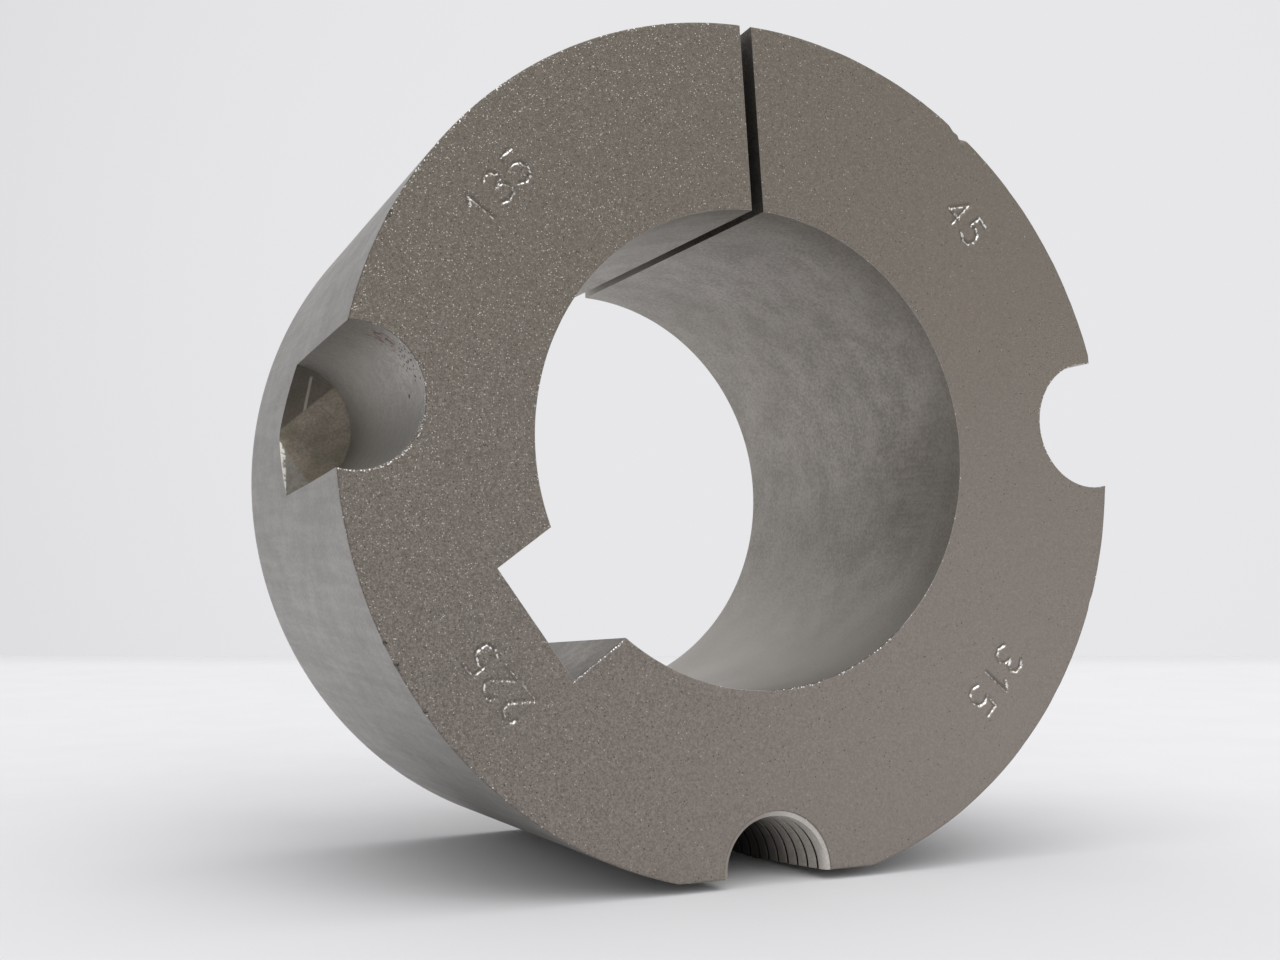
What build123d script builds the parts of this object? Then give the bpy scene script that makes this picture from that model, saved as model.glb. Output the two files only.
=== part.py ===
from build123d import *
import os
from math import atan2, degrees, radians, sqrt, tan

# A split taper bush: the inch-size locking bush that grips a shaft inside a pulley or sprocket hub.
# It is one piece of sintered steel, bored, keyed, drilled round its rim and sawn through on one side.
# All sizes are in millimetres and all angles in degrees.
#
# Working frame of the shape functions: the axis of the bush is Z, the large end face lies at Z = 0
# and the small end below it. Angles run anticlockwise from X, as seen on the large end face.
# The finished bush is then laid down to rest on its side, large end face towards -Y.

INCH = 25.4

# Turned body
large_end_diameter = 3.375 * INCH
length = 1.75 * INCH
taper_angle = 8.0
bore_diameter = 1.875 * INCH
rim_break = 0.25
bore_break = 0.15

# Screw half-holes, drilled on the joint line between bush and hub
bolt_circle_diameter = 3.25 * INCH
blind_hole_diameter = 13.5
blind_hole_depth = 24.0
blind_hole_angles = (174.2, 4.1)
drill_point_angle = 118.0
tapped_hole_angle = 270.0
tapped_core_diameter = 27 / 64 * INCH
tapped_mouth_diameter = 11.8
tapped_mouth_depth = 2.0

# Flat across the mouth of the tapped half-hole, measured from the axis
flat_distance = 41.5

# Keyway in the bore
key_width = 0.5 * INCH
key_side_depth = 6.6
key_angle = 214.6

# Saw slit through the wall
slit_width = 1.25
slit_angle = 91.35
slit_offset = 1.6

# Cutting solids run past the faces they cut by this much
overrun = 5.0


def small_end_radius():
    """Radius of the taper at the small end face."""
    return large_end_diameter / 2 - length * tan(radians(taper_angle / 2))


def turned_body():
    """The tapered ring, its half section turned about Z, with all four rims broken."""
    outer_top = large_end_diameter / 2
    outer_foot = small_end_radius()
    inner = bore_diameter / 2
    slope = tan(radians(taper_angle / 2))
    section = Polyline(
        (inner, -bore_break),
        (inner + bore_break, 0),
        (outer_top - rim_break, 0),
        (outer_top - rim_break * slope, -rim_break),
        (outer_foot + rim_break * slope, rim_break - length),
        (outer_foot - rim_break, -length),
        (inner + bore_break, -length),
        (inner, bore_break - length),
        close=True,
    )
    return revolve(make_face(Plane.XZ * section), Axis.Z)


def on_bolt_circle(angle):
    """The place of a screw half-hole: its axis where it crosses the large end face."""
    return Rot(0, 0, angle) * Pos(bolt_circle_diameter / 2, 0, 0)


def drilled_from_face(*profile):
    """A round cutter turned from (radius, height) points, open upwards past the large end face."""
    top = [(0, overrun), (profile[0][0], overrun)]
    return revolve(make_face(Plane.XZ * Polyline(*top, *profile, close=True)), Axis.Z)


def blind_cutter():
    """The drill that leaves an unthreaded half-hole: a straight wall over a drill-point floor."""
    radius = blind_hole_diameter / 2
    tip = blind_hole_depth + radius / tan(radians(drill_point_angle / 2))
    return drilled_from_face((radius, 0), (radius, -blind_hole_depth), (0, -tip))


def tapped_cutter():
    """The core of the tapped half-hole: a lead-in cone, then straight out of the small end."""
    mouth = tapped_mouth_diameter / 2
    core = tapped_core_diameter / 2
    foot = -length - overrun
    return drilled_from_face((mouth, 0), (core, -tapped_mouth_depth), (core, foot), (0, foot))


def full_height_block(width, near, far, shift=0.0):
    """A block as long as the bush and a bit more, from near to far along X, shifted along Y."""
    height = length + 2 * overrun
    middle = ((near + far) / 2, shift, -length / 2)
    return Pos(*middle) * Box(far - near, width, height)


def keyway_cutter():
    """The broached keyway, from inside the bore out to its flat bottom."""
    half_chord = sqrt((bore_diameter / 2) ** 2 - (key_width / 2) ** 2)
    return Rot(0, 0, key_angle) * full_height_block(key_width, half_chord / 2, half_chord + key_side_depth)


def slit_cutter():
    """The saw cut, a parallel slot a little off the centre line."""
    outside = large_end_diameter / 2 + overrun
    return Rot(0, 0, slit_angle) * full_height_block(slit_width, bore_diameter / 4, outside, -slit_offset)


def flat_cutter():
    """The flat, parallel to the axis, which runs out on the taper part of the way down."""
    outside = large_end_diameter / 2 + overrun
    return Rot(0, 0, tapped_hole_angle) * full_height_block(2 * outside, flat_distance, outside)


def taper_bush():
    """The whole bush in its working frame."""
    bush = turned_body()
    bush -= flat_cutter()
    for angle in blind_hole_angles:
        bush -= on_bolt_circle(angle) * blind_cutter()
    bush -= on_bolt_circle(tapped_hole_angle) * tapped_cutter()
    bush -= keyway_cutter()
    bush -= slit_cutter()
    return bush


def lip_distance(taper_radius):
    """Distance from the axis to the lips of the tapped half-hole, square to the flat.

    It is where the core circle, centred on the bolt circle, crosses the taper of that radius.
    """
    centre = bolt_circle_diameter / 2
    core = tapped_core_diameter / 2
    return (taper_radius**2 + centre**2 - core**2) / (2 * centre)


def resting_lean():
    """How far the axis leans back when the bush lies on the two lips of its tapped half-hole.

    The front feet are where the flat runs out at the lips and the back feet are at the small end.
    """
    centre = bolt_circle_diameter / 2
    core = tapped_core_diameter / 2
    slope = tan(radians(taper_angle / 2))
    front_radius = sqrt(2 * centre * flat_distance - centre**2 + core**2)
    back_radius = small_end_radius() + rim_break * slope
    run = (front_radius - back_radius) / slope
    return degrees(atan2(lip_distance(front_radius) - lip_distance(back_radius), run))


def laid_down(bush):
    """Rest the bush on the two lips of its tapped half-hole, over the origin."""
    leaning = Rot(-resting_lean(), 0, 0) * Rot(90, 0, 0) * bush
    box = leaning.bounding_box()
    return Pos(-box.center().X, -box.center().Y, -box.min.Z) * leaning


os.makedirs("parts", exist_ok=True)
bush = laid_down(taper_bush())
bush.label = "taper_bush"
export_step(bush, "parts/taper_bush.step")
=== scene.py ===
"""Looks of the split taper bush: one closed piece of sintered steel, dressed face by face.

The bush is worked out in its own frame, in millimetres: its axis is Z, the large end face lies at
Z = 0 and the small end below it, and angles run anticlockwise from X as seen on the large end face.
It is then leaned back and set down on its resting lips, in metres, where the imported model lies.
"""

import logging
import math
from dataclasses import dataclass, field
from enum import Enum

import bmesh
import bpy
import numpy as np
from mathutils import Matrix, Vector


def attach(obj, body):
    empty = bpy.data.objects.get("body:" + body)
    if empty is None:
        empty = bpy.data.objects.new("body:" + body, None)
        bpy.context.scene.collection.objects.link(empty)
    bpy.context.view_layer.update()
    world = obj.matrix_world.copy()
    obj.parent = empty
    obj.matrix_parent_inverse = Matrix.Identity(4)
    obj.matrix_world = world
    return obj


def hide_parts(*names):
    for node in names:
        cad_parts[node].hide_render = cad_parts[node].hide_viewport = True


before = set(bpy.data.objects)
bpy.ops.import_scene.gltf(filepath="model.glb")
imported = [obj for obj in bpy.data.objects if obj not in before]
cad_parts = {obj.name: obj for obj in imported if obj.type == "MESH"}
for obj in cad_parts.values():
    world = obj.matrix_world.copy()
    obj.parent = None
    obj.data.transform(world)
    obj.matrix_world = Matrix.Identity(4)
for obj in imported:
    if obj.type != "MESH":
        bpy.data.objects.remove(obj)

LOG = logging.getLogger("taper_bush")
MM = 0.001
INCH = 25.4
FAR = 1e3
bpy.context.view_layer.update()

Array = np.ndarray
Pair = tuple[float, float]
Triple = tuple[float, float, float]
Colour = Triple
Socket = bpy.types.NodeSocket


# ---------------------------------------------------------------- small helpers


def smooth_step(x: Array) -> Array:
    """The curve 3x^2 - 2x^3, held at 0 below x = 0 and at 1 above x = 1."""
    x = np.clip(x, 0.0, 1.0)
    return x * x * (3.0 - 2.0 * x)


def polar(radius: Array, degrees: Array) -> Array:
    """Plan points radius * (cos a, sin a), stacked on a new last axis."""
    a = np.radians(degrees)
    return np.stack([radius * np.cos(a), radius * np.sin(a)], axis=-1)


def wave_noise(seed: int, positions: Array, longest: float, octaves: int = 4) -> Array:
    """Smooth seeded noise along one axis, about -1 to 1.

    It is a sum of sines whose lengths halve from octave to octave, each with a phase of its own.

    Args:
        seed: seed of the phases.
        positions: places along the axis.
        longest: longest wave, in the same unit.
        octaves: how many octaves are added, three sines in each.

    Returns:
        One value for each place.
    """
    rng = np.random.default_rng(seed)
    total = np.zeros_like(positions, dtype=float)
    weight = 1.0
    for octave in range(octaves):
        for _ in range(3):
            length = longest / 2**octave * rng.uniform(0.75, 1.35)
            total += weight * np.sin(2 * math.pi * (positions / length + rng.uniform()))
        weight *= 0.6
    return total / 3.2


class Skin(Enum):
    """The finishes of the bush, in the order of its material slots."""

    FACE = 0
    TAPER = 1
    BORE = 2
    DRILLED = 3
    DRILL_POINT = 4
    THREAD = 5
    KEYWAY = 6
    SAWN = 7
    LEAD_IN = 8


# ---------------------------------------------------------------- features of the bush


@dataclass
class TaperedRing:
    """The turned body: a bored ring with a tapered outside and broken rims."""

    large_radius: float = 3.375 * INCH / 2
    length: float = 1.75 * INCH
    half_taper: float = 4.0
    bore_radius: float = 1.875 * INCH / 2
    rim_break: float = 0.14
    bore_break: float = 0.07
    flat_distance: float = 41.5
    flat_angle: float = 270.0
    flat_reach: float = 1.2

    def foot(self) -> float:
        """Height where the broken rim of the small end starts."""
        return -self.length + self.rim_break

    def taper_radius(self, z: Array) -> Array:
        """Radius of the taper at height z: large radius + z * tan(half taper)."""
        return self.large_radius + z * math.tan(math.radians(self.half_taper))

    def outside_radius(self, angle: Array, z: Array) -> Array:
        """The smaller of the taper's radius and the flat's, flat distance / cos(angle - flat).

        Args:
            angle: ring angles in degrees.
            z: heights.

        Returns:
            The radius at each place.
        """
        off = np.radians((angle - self.flat_angle + 180.0) % 360.0 - 180.0)
        held = np.clip(off, -self.flat_reach, self.flat_reach)
        flat = np.where(np.abs(off) < self.flat_reach, self.flat_distance / np.cos(held), FAR)
        return np.minimum(self.taper_radius(z), flat)

    def flat_corner(self, z: Array) -> Array:
        """Half angle that the flat spans at height z: arc cosine of flat distance / taper radius."""
        return np.degrees(np.arccos(np.clip(self.flat_distance / self.taper_radius(z), -1, 1)))


@dataclass
class BlindSeat:
    """An unthreaded half-hole for a screw, straight down to a drill-point floor."""

    ring: TaperedRing
    angle: float
    radius: float = 13.5 / 2
    depth: float = 24.0
    centre: float = 3.25 * INCH / 2
    point_angle: float = 118.0
    passes: int = 12

    def lip_angle(self, z: Array) -> Array:
        """Half angle between the lips, where the hole's circle crosses the taper's at height z.

        The cosine is (c^2 + r^2 - a^2) / (2 c r), for the circle a centred at c and the taper r.

        Args:
            z: heights.

        Returns:
            Half angles in degrees.
        """
        r = self.ring.taper_radius(np.maximum(z, -self.depth))
        c, a = self.centre, self.radius
        return np.degrees(np.arccos((c * c + r * r - a * a) / (2 * c * r)))

    def wall_point(self, t: Array, z: Array) -> Array:
        """Plan points of the wall, t from -1 to 1 from lip to lip, at height z.

        The wall point is the hole's centre less its radius turned through t times the lip's turn.

        Args:
            t: places from lip to lip.
            z: heights.

        Returns:
            The points, on a last axis of two.
        """
        lip = np.radians(self.lip_angle(z))
        r = self.ring.taper_radius(np.maximum(z, -self.depth))
        turn = t * np.arctan2(r * np.sin(lip), self.centre - r * np.cos(lip))
        along = self.centre - self.radius * np.cos(turn)
        across = self.radius * np.sin(turn)
        return self.turned(along, across)

    def turned(self, along: Array, across: Array) -> Array:
        """Local plan axes, outwards and anticlockwise, turned to the seat's angle.

        Args:
            along: distances outwards.
            across: distances anticlockwise.

        Returns:
            Plan points, on a last axis of two.
        """
        a = math.radians(self.angle)
        x = along * math.cos(a) - across * math.sin(a)
        y = along * math.sin(a) + across * math.cos(a)
        return np.stack([x, y], axis=-1)

    def floor_height(self, plan: Array) -> Array:
        """The drill point's cone: -depth - (radius - distance from the hole's axis) / tan(half).

        Args:
            plan: plan points.

        Returns:
            The floor's height under each point.
        """
        hub = self.turned(np.array(self.centre), np.array(0.0))
        away = np.linalg.norm(plan - hub, axis=-1)
        slope = math.tan(math.radians(self.point_angle / 2))
        return -self.depth - np.maximum(self.radius - away, 0.0) / slope

    def mouth_angle(self, t: Array) -> Array:
        """Ring angle of column t below the floor's open edge."""
        return self.angle + t * float(self.lip_angle(np.array(-self.depth)))

    def mouth_height(self, t: Array) -> Array:
        """Height where the floor cone runs out through the taper, by repeated substitution.

        Args:
            t: places from lip to lip, -1 to 1.

        Returns:
            The height at each place.
        """
        z = np.full_like(t, -self.depth)
        for _ in range(self.passes):
            z = self.floor_height(polar(self.ring.taper_radius(z), self.mouth_angle(t)))
        return z


@dataclass
class TappedSeat:
    """The threaded half-hole of the removal screw, right through, with a lead-in cone."""

    ring: TaperedRing
    angle: float = 270.0
    core_radius: float = 27 / 64 * INCH / 2
    thread_depth: float = 0.4
    mouth_radius: float = 6.0
    mouth_depth: float = 0.54
    pitch: float = INCH / 13
    centre: float = 3.25 * INCH / 2
    lead_rows: int = 4
    turns: int = 22
    crest: float = 0.76
    root: float = 0.06
    foot_fade: float = 0.6
    mouth_fade: float = 0.4
    level_out: float = 2.5
    first_turn: float = 92.0
    passes: int = 6

    def heights(self) -> Array:
        """Heights of the fine rows: four down the lead-in, then eight to each turn of thread.

        In one turn the rows stand at the crest's start, middle and end, on the flank, at the
        root's start, middle and end, and on the other flank.

        Returns:
            The heights, from the large end down.
        """
        flank = (1 - self.crest - self.root) / 2
        steps = np.array([0, self.crest / 2, self.crest, self.crest + flank / 2,
                          self.crest + flank, self.crest + flank + self.root / 2,
                          1 - flank, 1 - flank / 2])
        lead = np.linspace(-self.ring.rim_break, -self.mouth_depth, self.lead_rows, endpoint=False)
        turns = np.arange(self.turns)[:, None] + steps[None, :]
        turns = -self.mouth_depth - self.pitch * turns.ravel()
        return np.concatenate([lead, turns, [self.ring.foot()]])

    def groove(self, phase: Array) -> Array:
        """Depth of the thread at a phase of 0 to 1: crest, flank, root and flank, in straight runs.

        Args:
            phase: turns down the thread; only the part after the point counts.

        Returns:
            Depths in millimetres.
        """
        flank = (1 - self.crest - self.root) / 2
        knots = [0, self.crest, self.crest + flank, 1 - flank, 1]
        return self.thread_depth * np.interp(phase % 1.0, knots, [0, 0, 1, 1, 0])

    def wall_radius(self, z: Array, turn: Array) -> Array:
        """Radius of the wall: the core plus the helical groove, or the lead-in cone if larger.

        The phase is (-mouth depth - z) / pitch + turn / 360, and the groove fades out near both
        ends.

        Args:
            z: heights.
            turn: turns about the hole's axis, in degrees.

        Returns:
            Radii from that axis.
        """
        phase = (-self.mouth_depth - z) / self.pitch + turn / 360.0
        fade = np.clip((z - self.ring.foot()) / self.foot_fade, 0, 1)
        fade = fade * np.clip((-self.mouth_depth - z) / self.mouth_fade, 0, 1)
        lead = self.mouth_radius + z * (self.mouth_radius - self.core_radius) / self.mouth_depth
        return np.maximum(self.core_radius + fade * self.groove(phase), lead)

    def sheared(self, z: Array, turn: Array) -> Array:
        """Rows follow the helix, z + pitch * turn / 360, and level out near both ends.

        Args:
            z: heights of level rows.
            turn: turns about the hole's axis, in degrees.

        Returns:
            The moved heights.
        """
        ramp = smooth_step((z - self.ring.foot()) / self.level_out)
        ramp = ramp * smooth_step(-self.ring.rim_break - z)
        return z + self.pitch * turn / 360.0 * ramp

    def cut_share(self, points: Array) -> Array:
        """How deep in the groove points of the wall lie, from 0 on the crests to 1 at the root."""
        away = np.hypot(points[..., 0], points[..., 1] + self.centre) - self.core_radius
        return np.clip(away / self.thread_depth, 0, 1) * (points[..., 2] < -2 * self.mouth_depth)

    def lip_turn(self, z: Array, radius: Array) -> Array:
        """Turn, from inwards, at which a circle of this radius meets the flat or the taper.

        Args:
            z: heights.
            radius: radii of the wall there.

        Returns:
            Turns in degrees.
        """
        c = self.centre
        r = self.ring.taper_radius(z)
        at_flat = (c - self.ring.flat_distance) / radius
        at_taper = (c * c + radius**2 - r * r) / (2 * c * radius)
        return np.degrees(np.arccos(np.clip(np.maximum(at_flat, at_taper), -1, 1)))

    def wall_points(self, t: Array, z: Array) -> Array:
        """Points of the wall in space, for t from -1 to 1 from lip to lip and fine heights z.

        Args:
            t: places from lip to lip.
            z: fine heights.

        Returns:
            Points, on a last axis of three.
        """
        turn = t * self.first_turn
        for _ in range(self.passes):
            height = self.sheared(z, turn)
            radius = self.wall_radius(height, turn)
            turn = t * self.lip_turn(height, radius)
        height = self.sheared(z, turn)
        radius = self.wall_radius(height, turn)
        a = np.radians(turn)
        along = self.centre - radius * np.cos(a)
        across = radius * np.sin(a)
        # the local axes, outwards and anticlockwise, turned to 270 degrees
        return np.stack([across, -along, height], axis=-1)


@dataclass
class Keyway:
    """The broached keyway in the bore."""

    ring: TaperedRing
    angle: float = 214.6
    width: float = 0.5 * INCH
    side_depth: float = 6.6

    def corner(self) -> Pair:
        """Distance from the axis, along the keyway, of its mouth and of its bottom."""
        mouth = math.sqrt(self.ring.bore_radius**2 - (self.width / 2) ** 2)
        return mouth, mouth + self.side_depth

    def mouth_half(self) -> float:
        """Half angle of the keyway's mouth in the bore."""
        return math.degrees(math.asin(self.width / 2 / self.ring.bore_radius))


@dataclass
class SawSlit:
    """The saw cut, a parallel slot a little to one side of the axis."""

    angle: float = 91.35
    width: float = 1.31
    offset: float = 1.6

    def wall_angle(self, side: int, radius: Array) -> Array:
        """Ring angle of a wall at a radius: slit angle - arc sine((offset +- width / 2) / r)."""
        reach = self.offset + side * self.width / 2
        return self.angle - np.degrees(np.arcsin(reach / radius))


@dataclass
class DialNumbers:
    """Plain angle numbers punched into the large end face, read clockwise with tops outwards."""

    radius: float = 36.0
    height: float = 3.25
    width: float = 1.85
    pitch: float = 2.75
    groove: float = 0.25
    depth: float = 0.16
    seed: int = 11
    # lit_side, glint_offset and glint_width place a painted highlight on one wall of each groove; the share
    # below sets a painted shade on the other wall
    lit_side: Pair = (0.75, -0.66)
    glint_offset: float = 0.1
    glint_width: float = 0.1
    shade_share: float = 0.7
    unevenness: float = 0.35
    burr: float = 0.022
    skews: Pair = (-4.0, 4.0)
    lifts: Pair = (-0.2, 0.2)
    figure_shares: Pair = (0.6, 1.0)
    stroke_shares: Pair = (0.75, 1.15)

    GLYPHS = {
        "1": [[(0.12, 0.74), (0.52, 1.0), (0.52, 0.0)]],
        "2": [[(0.02, 0.76), (0.12, 0.93), (0.38, 1.0), (0.7, 0.97), (0.93, 0.82), (0.9, 0.62),
               (0.6, 0.4), (0.0, 0.0), (1.0, 0.0)]],
        "3": [[(0.04, 0.9), (0.35, 1.0), (0.75, 0.96), (0.92, 0.78), (0.78, 0.6), (0.42, 0.54),
               (0.8, 0.47), (1.0, 0.27), (0.84, 0.06), (0.45, 0.0), (0.04, 0.1)]],
        "4": [[(0.74, 0.0), (0.74, 1.0), (0.0, 0.3), (1.0, 0.3)]],
        "5": [[(0.92, 1.0), (0.16, 1.0), (0.1, 0.57), (0.48, 0.63), (0.86, 0.54), (1.0, 0.31),
               (0.84, 0.07), (0.45, 0.0), (0.03, 0.1)]],
    }
    PLACES = ((43.0, "45"), (137.8, "135"), (217.9, "225"), (318.2, "315"))

    def strokes(self) -> Array:
        """All strokes as rows of x1, y1, x2, y2, depth, each figure a little askew.

        Returns:
            The strokes in plan, with the share of the full depth that each figure reached.
        """
        rng = np.random.default_rng(self.seed)
        rows = []
        for centre, text in self.PLACES:
            for place, figure in enumerate(text):
                step = (place - (len(text) - 1) / 2) * self.pitch
                angle = math.radians(centre) - step / self.radius
                skew = math.radians(rng.uniform(*self.skews))
                lift = rng.uniform(*self.lifts)
                share = rng.uniform(*self.figure_shares)
                up = np.array([math.cos(angle + skew), math.sin(angle + skew)])
                right = np.array([up[1], -up[0]])
                hub = (self.radius + lift) * np.array([math.cos(angle), math.sin(angle)])
                for line in self.GLYPHS[figure]:
                    line = np.array(line)
                    points = (hub + (line[:, :1] - 0.5) * self.width * right
                              + (line[:, 1:] - 0.5) * self.height * up)
                    for a, b in zip(points[:-1], points[1:]):
                        rows.append([*a, *b, share * rng.uniform(*self.stroke_shares)])
        return np.array(rows)

    def sink(self, plan: Array) -> tuple[Array, Array]:
        """How deep the figures sink the face, with a painted highlight and a painted shade on their walls.

        The depth is depth * (1 - distance to a stroke / half width), with a low burr beside each
        groove. Beside each stroke's line, on its wall towards the lit side, runs a painted highlight of
        strength exp(-(distance / glint width)^2), brightest where the wall faces the lit side squarely,
        and on the other wall runs a line of painted shade, which counts as less than nothing.

        Args:
            plan: points of the face, any shape with a last axis of two.

        Returns:
            The depth at each point, and its painted highlight, above 0, and painted shade, below 0, from -1
            to 1.
        """
        flat = plan.reshape(-1, 2)
        best = np.full(len(flat), -FAR)
        bright, dull = np.zeros(len(flat)), np.zeros(len(flat))
        for x1, y1, x2, y2, share in self.strokes():
            start, run = np.array([x1, y1]), np.array([x2 - x1, y2 - y1])
            length = float(np.hypot(*run))
            normal = np.array([-run[1], run[0]]) / length
            facing = float(normal @ np.array(self.lit_side))
            step = math.copysign(self.glint_offset, facing) * normal
            best = np.maximum(best, share * (1 - self.distance(flat, start, run) / self.groove))
            # painted highlight: a bright line along the wall that faces the lit side
            beside = self.distance(flat, start + step, run) / self.glint_width
            bright = np.maximum(bright, share * (0.5 + 0.5 * abs(facing)) * np.exp(-beside**2))
            # painted shade: a dark line along the other wall
            beside = self.distance(flat, start - step, run) / self.glint_width
            dull = np.maximum(dull, self.shade_share * share * np.exp(-beside**2))
        uneven = 1 + self.unevenness * np.sin(flat[:, 0] * 7.1 + 1.3) * np.sin(flat[:, 1] * 6.3 + 0.4)
        dip = self.depth * np.maximum(best, 0) * uneven
        burr = self.burr * np.exp(-((best + 0.35) / 0.25) ** 2)
        glint_and_shade = np.where(bright > dull, bright, -dull)
        return (dip - burr).reshape(plan.shape[:-1]), glint_and_shade.reshape(plan.shape[:-1])

    @staticmethod
    def distance(points: Array, start: Array, run: Array) -> Array:
        """Distance of plan points from the stretch that runs from start by run."""
        along = np.clip((points - start) @ run / (run @ run), 0, 1)
        return np.linalg.norm(points - start - along[:, None] * run, axis=1)


# ---------------------------------------------------------------- the shell


class Edge(Enum):
    """What a stretch of the ring has on its outside."""

    PLAIN = 0
    LEFT_SEAT = 1
    RIGHT_SEAT = 2
    TAPPED = 3
    STRIP = 4


@dataclass
class Stretch:
    """A run of columns round the ring, from one outer angle and inner place to the next."""

    outer: Pair
    inner: tuple[Pair, Pair]
    columns: int
    edge: Edge = Edge.PLAIN
    straight: bool = False


@dataclass
class BushShell:
    """The closed skin of the bush: a half section carried round from one slit wall to the other."""

    name: str = "taper_bush_skin"
    ring: TaperedRing = field(default_factory=TaperedRing)
    slit: SawSlit = field(default_factory=SawSlit)
    numbers: DialNumbers = field(default_factory=DialNumbers)
    face_centre: Triple = (0.0444, -22.1033, 42.4059)
    lean: float = 3.955
    bore_rows: int = 6
    inner_face_rows: int = 11
    number_rows: int = 33
    outer_face_rows: int = 9
    foot_rows: int = 8
    round_rows: int = 4
    bore_round_rows: int = 3
    wall_rows: int = 21
    floor_rows: int = 7
    edge_band: float = 0.16
    number_band: Pair = (34.0, 38.1)
    outside_nicks: tuple[Triple, ...] = (
        (51.8, 0.8, 0.55), (53.2, 0.5, 0.9), (132.7, 0.13, 0.4), (137.9, 0.14, 0.45),
        (151.0, 0.18, 0.5), (24.0, 0.15, 0.5), (338.0, 0.16, 0.6), (204.9, 0.18, 0.3),
        (207.8, 0.2, 0.3), (208.6, 0.18, 0.15), (214.5, 0.2, 0.25), (220.6, 0.16, 0.3),
    )
    worn_lip: Pair = (0.18, 0.12)

    # Wear of the broken edges by ring angle or place: rubbed bright metal, set strongest where the edges
    # catch the light, so it is partly painted glint.
    rim_wear: tuple[Pair, ...] = (
        (88, 0.06), (104, 0.12), (125, 0.3), (150, 0.3), (166, 0.12), (200, 0.1), (230, 0.12),
        (250, 0.04), (300, 0.03), (400, 0.03), (448, 0.05))
    seat_wear: tuple[Pair, ...] = (
        (0.0, 0.1), (0.3, 0.25), (0.45, 0.6), (0.6, 0.95), (0.95, 0.95), (1.0, 0.7))
    bore_wear: tuple[Pair, ...] = (
        (0, 0.03), (60, 0.04), (100, 0.04), (190, 0.06), (230, 0.08), (266, 0.03), (275, 0.4),
        (282, 0.6), (306, 0.6), (312, 0.06), (360, 0.03))
    foot_wear: float = 0.3
    key_wear: Pair = (0.9, 0.05)
    rim_roughness: float = 0.22
    seat_break: float = 0.07
    seat_burr: float = 0.12
    least_break: float = 0.06
    calm_reach: float = 10.0
    calm_fade: float = 4.0
    chip_depth: float = 0.17
    band_room: Pair = (41.6, 0.8)
    slid_band: Pair = (0.5, 0.8)
    smoothing: int = 9
    turn_over: float = 88.0
    lip_reach: float = 5.85
    lip_radius: float = 42.0
    lip_fade: float = 7.0
    flat_start: float = 9.6
    least_corner: float = 10.4
    slit_fade: float = 6.5
    merge_distance: float = 2e-7
    sharp_angle: float = 31.0

    def __post_init__(self) -> None:
        """Set out the seats, the keyway and the stretches of the ring."""
        self.left = BlindSeat(self.ring, 174.2)
        self.right = BlindSeat(self.ring, 4.1)
        self.tapped = TappedSeat(self.ring)
        self.keyway = Keyway(self.ring)
        self.fine = self.tapped.heights()
        self.coarse = self.fine[::4]
        self.lay_out_columns()

    # ---- columns

    def stretches(self) -> list[Stretch]:
        """The stretches of the ring in order, anticlockwise from the slit's left wall.

        Returns:
            The stretches, each starting where the last one ends.
        """
        bore = self.ring.bore_radius
        mouth, bottom = self.keyway.corner()
        half = self.keyway.width / 2
        key, key_half = self.keyway.angle, self.keyway.mouth_half()
        floor_half = math.degrees(math.atan(half / bottom))
        floor_radius = math.hypot(bottom, half)
        lip = float(self.left.lip_angle(np.array(-self.ring.rim_break)))
        first = float(self.slit.wall_angle(-1, np.array(self.ring.large_radius)))
        last = float(self.slit.wall_angle(1, np.array(self.ring.large_radius))) + 360
        first_in = float(self.slit.wall_angle(-1, np.array(bore)))
        last_in = float(self.slit.wall_angle(1, np.array(bore))) + 360
        corner = float(self.ring.flat_corner(np.array(-self.ring.rim_break)))
        tap_lip = math.degrees(math.asin(self.lip_reach / self.lip_radius))
        left, right = self.left.angle, self.home(self.right)
        flat = self.ring.flat_angle

        def arc(a: float, b: float) -> tuple[Pair, Pair]:
            """The run of the bore's wall from angle a to angle b."""
            return (a, bore), (b, bore)

        key_in, key_out = (key - key_half, bore), (key + key_half, bore)
        low_in, low_out = (key - floor_half, floor_radius), (key + floor_half, floor_radius)
        return [
            Stretch((first, 98), arc(first_in, 97.5), 9),
            Stretch((98, 130.5), arc(97.5, 130.5), 25),
            Stretch((130.5, 145.4), arc(130.5, 145.4), 62),
            Stretch((145.4, left - lip), arc(145.4, left - 24), 18),
            Stretch((left - lip, left + lip), arc(left - 24, left + 24), 32, Edge.LEFT_SEAT),
            Stretch((left + lip, 190.6), ((left + 24, bore), key_in), 8),
            Stretch((190.6, 200.6), (key_in, low_in), 9, straight=True),
            Stretch((200.6, 228.6), (low_in, low_out), 92, straight=True),
            Stretch((228.6, 238.6), (low_out, key_out), 9, straight=True),
            Stretch((238.6, flat - corner), (key_out, (246, bore)), 15),
            Stretch((flat - corner, 260.4), arc(246, 251.5), 6),
            Stretch((260.4, flat - tap_lip), arc(251.5, 253), 1, Edge.STRIP),
            Stretch((flat - tap_lip, flat + tap_lip), arc(253, 287), 40, Edge.TAPPED),
            Stretch((flat + tap_lip, 279.6), arc(287, 288.5), 1, Edge.STRIP),
            Stretch((279.6, flat + corner), arc(288.5, 294), 6),
            Stretch((flat + corner, 311), arc(294, 311), 22),
            Stretch((311, 325.4), arc(311, 325.4), 60),
            Stretch((325.4, right - lip), arc(325.4, right - 24), 24),
            Stretch((right - lip, right + lip), arc(right - 24, right + 24), 32, Edge.RIGHT_SEAT),
            Stretch((right + lip, 396.5), arc(right + 24, 397.5), 18),
            Stretch((396.5, 414.5), arc(397.5, 414.0), 74),
            Stretch((414.5, 440), arc(414.0, 438), 20),
            Stretch((440, last), arc(438, last_in), 9),
        ]

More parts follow.
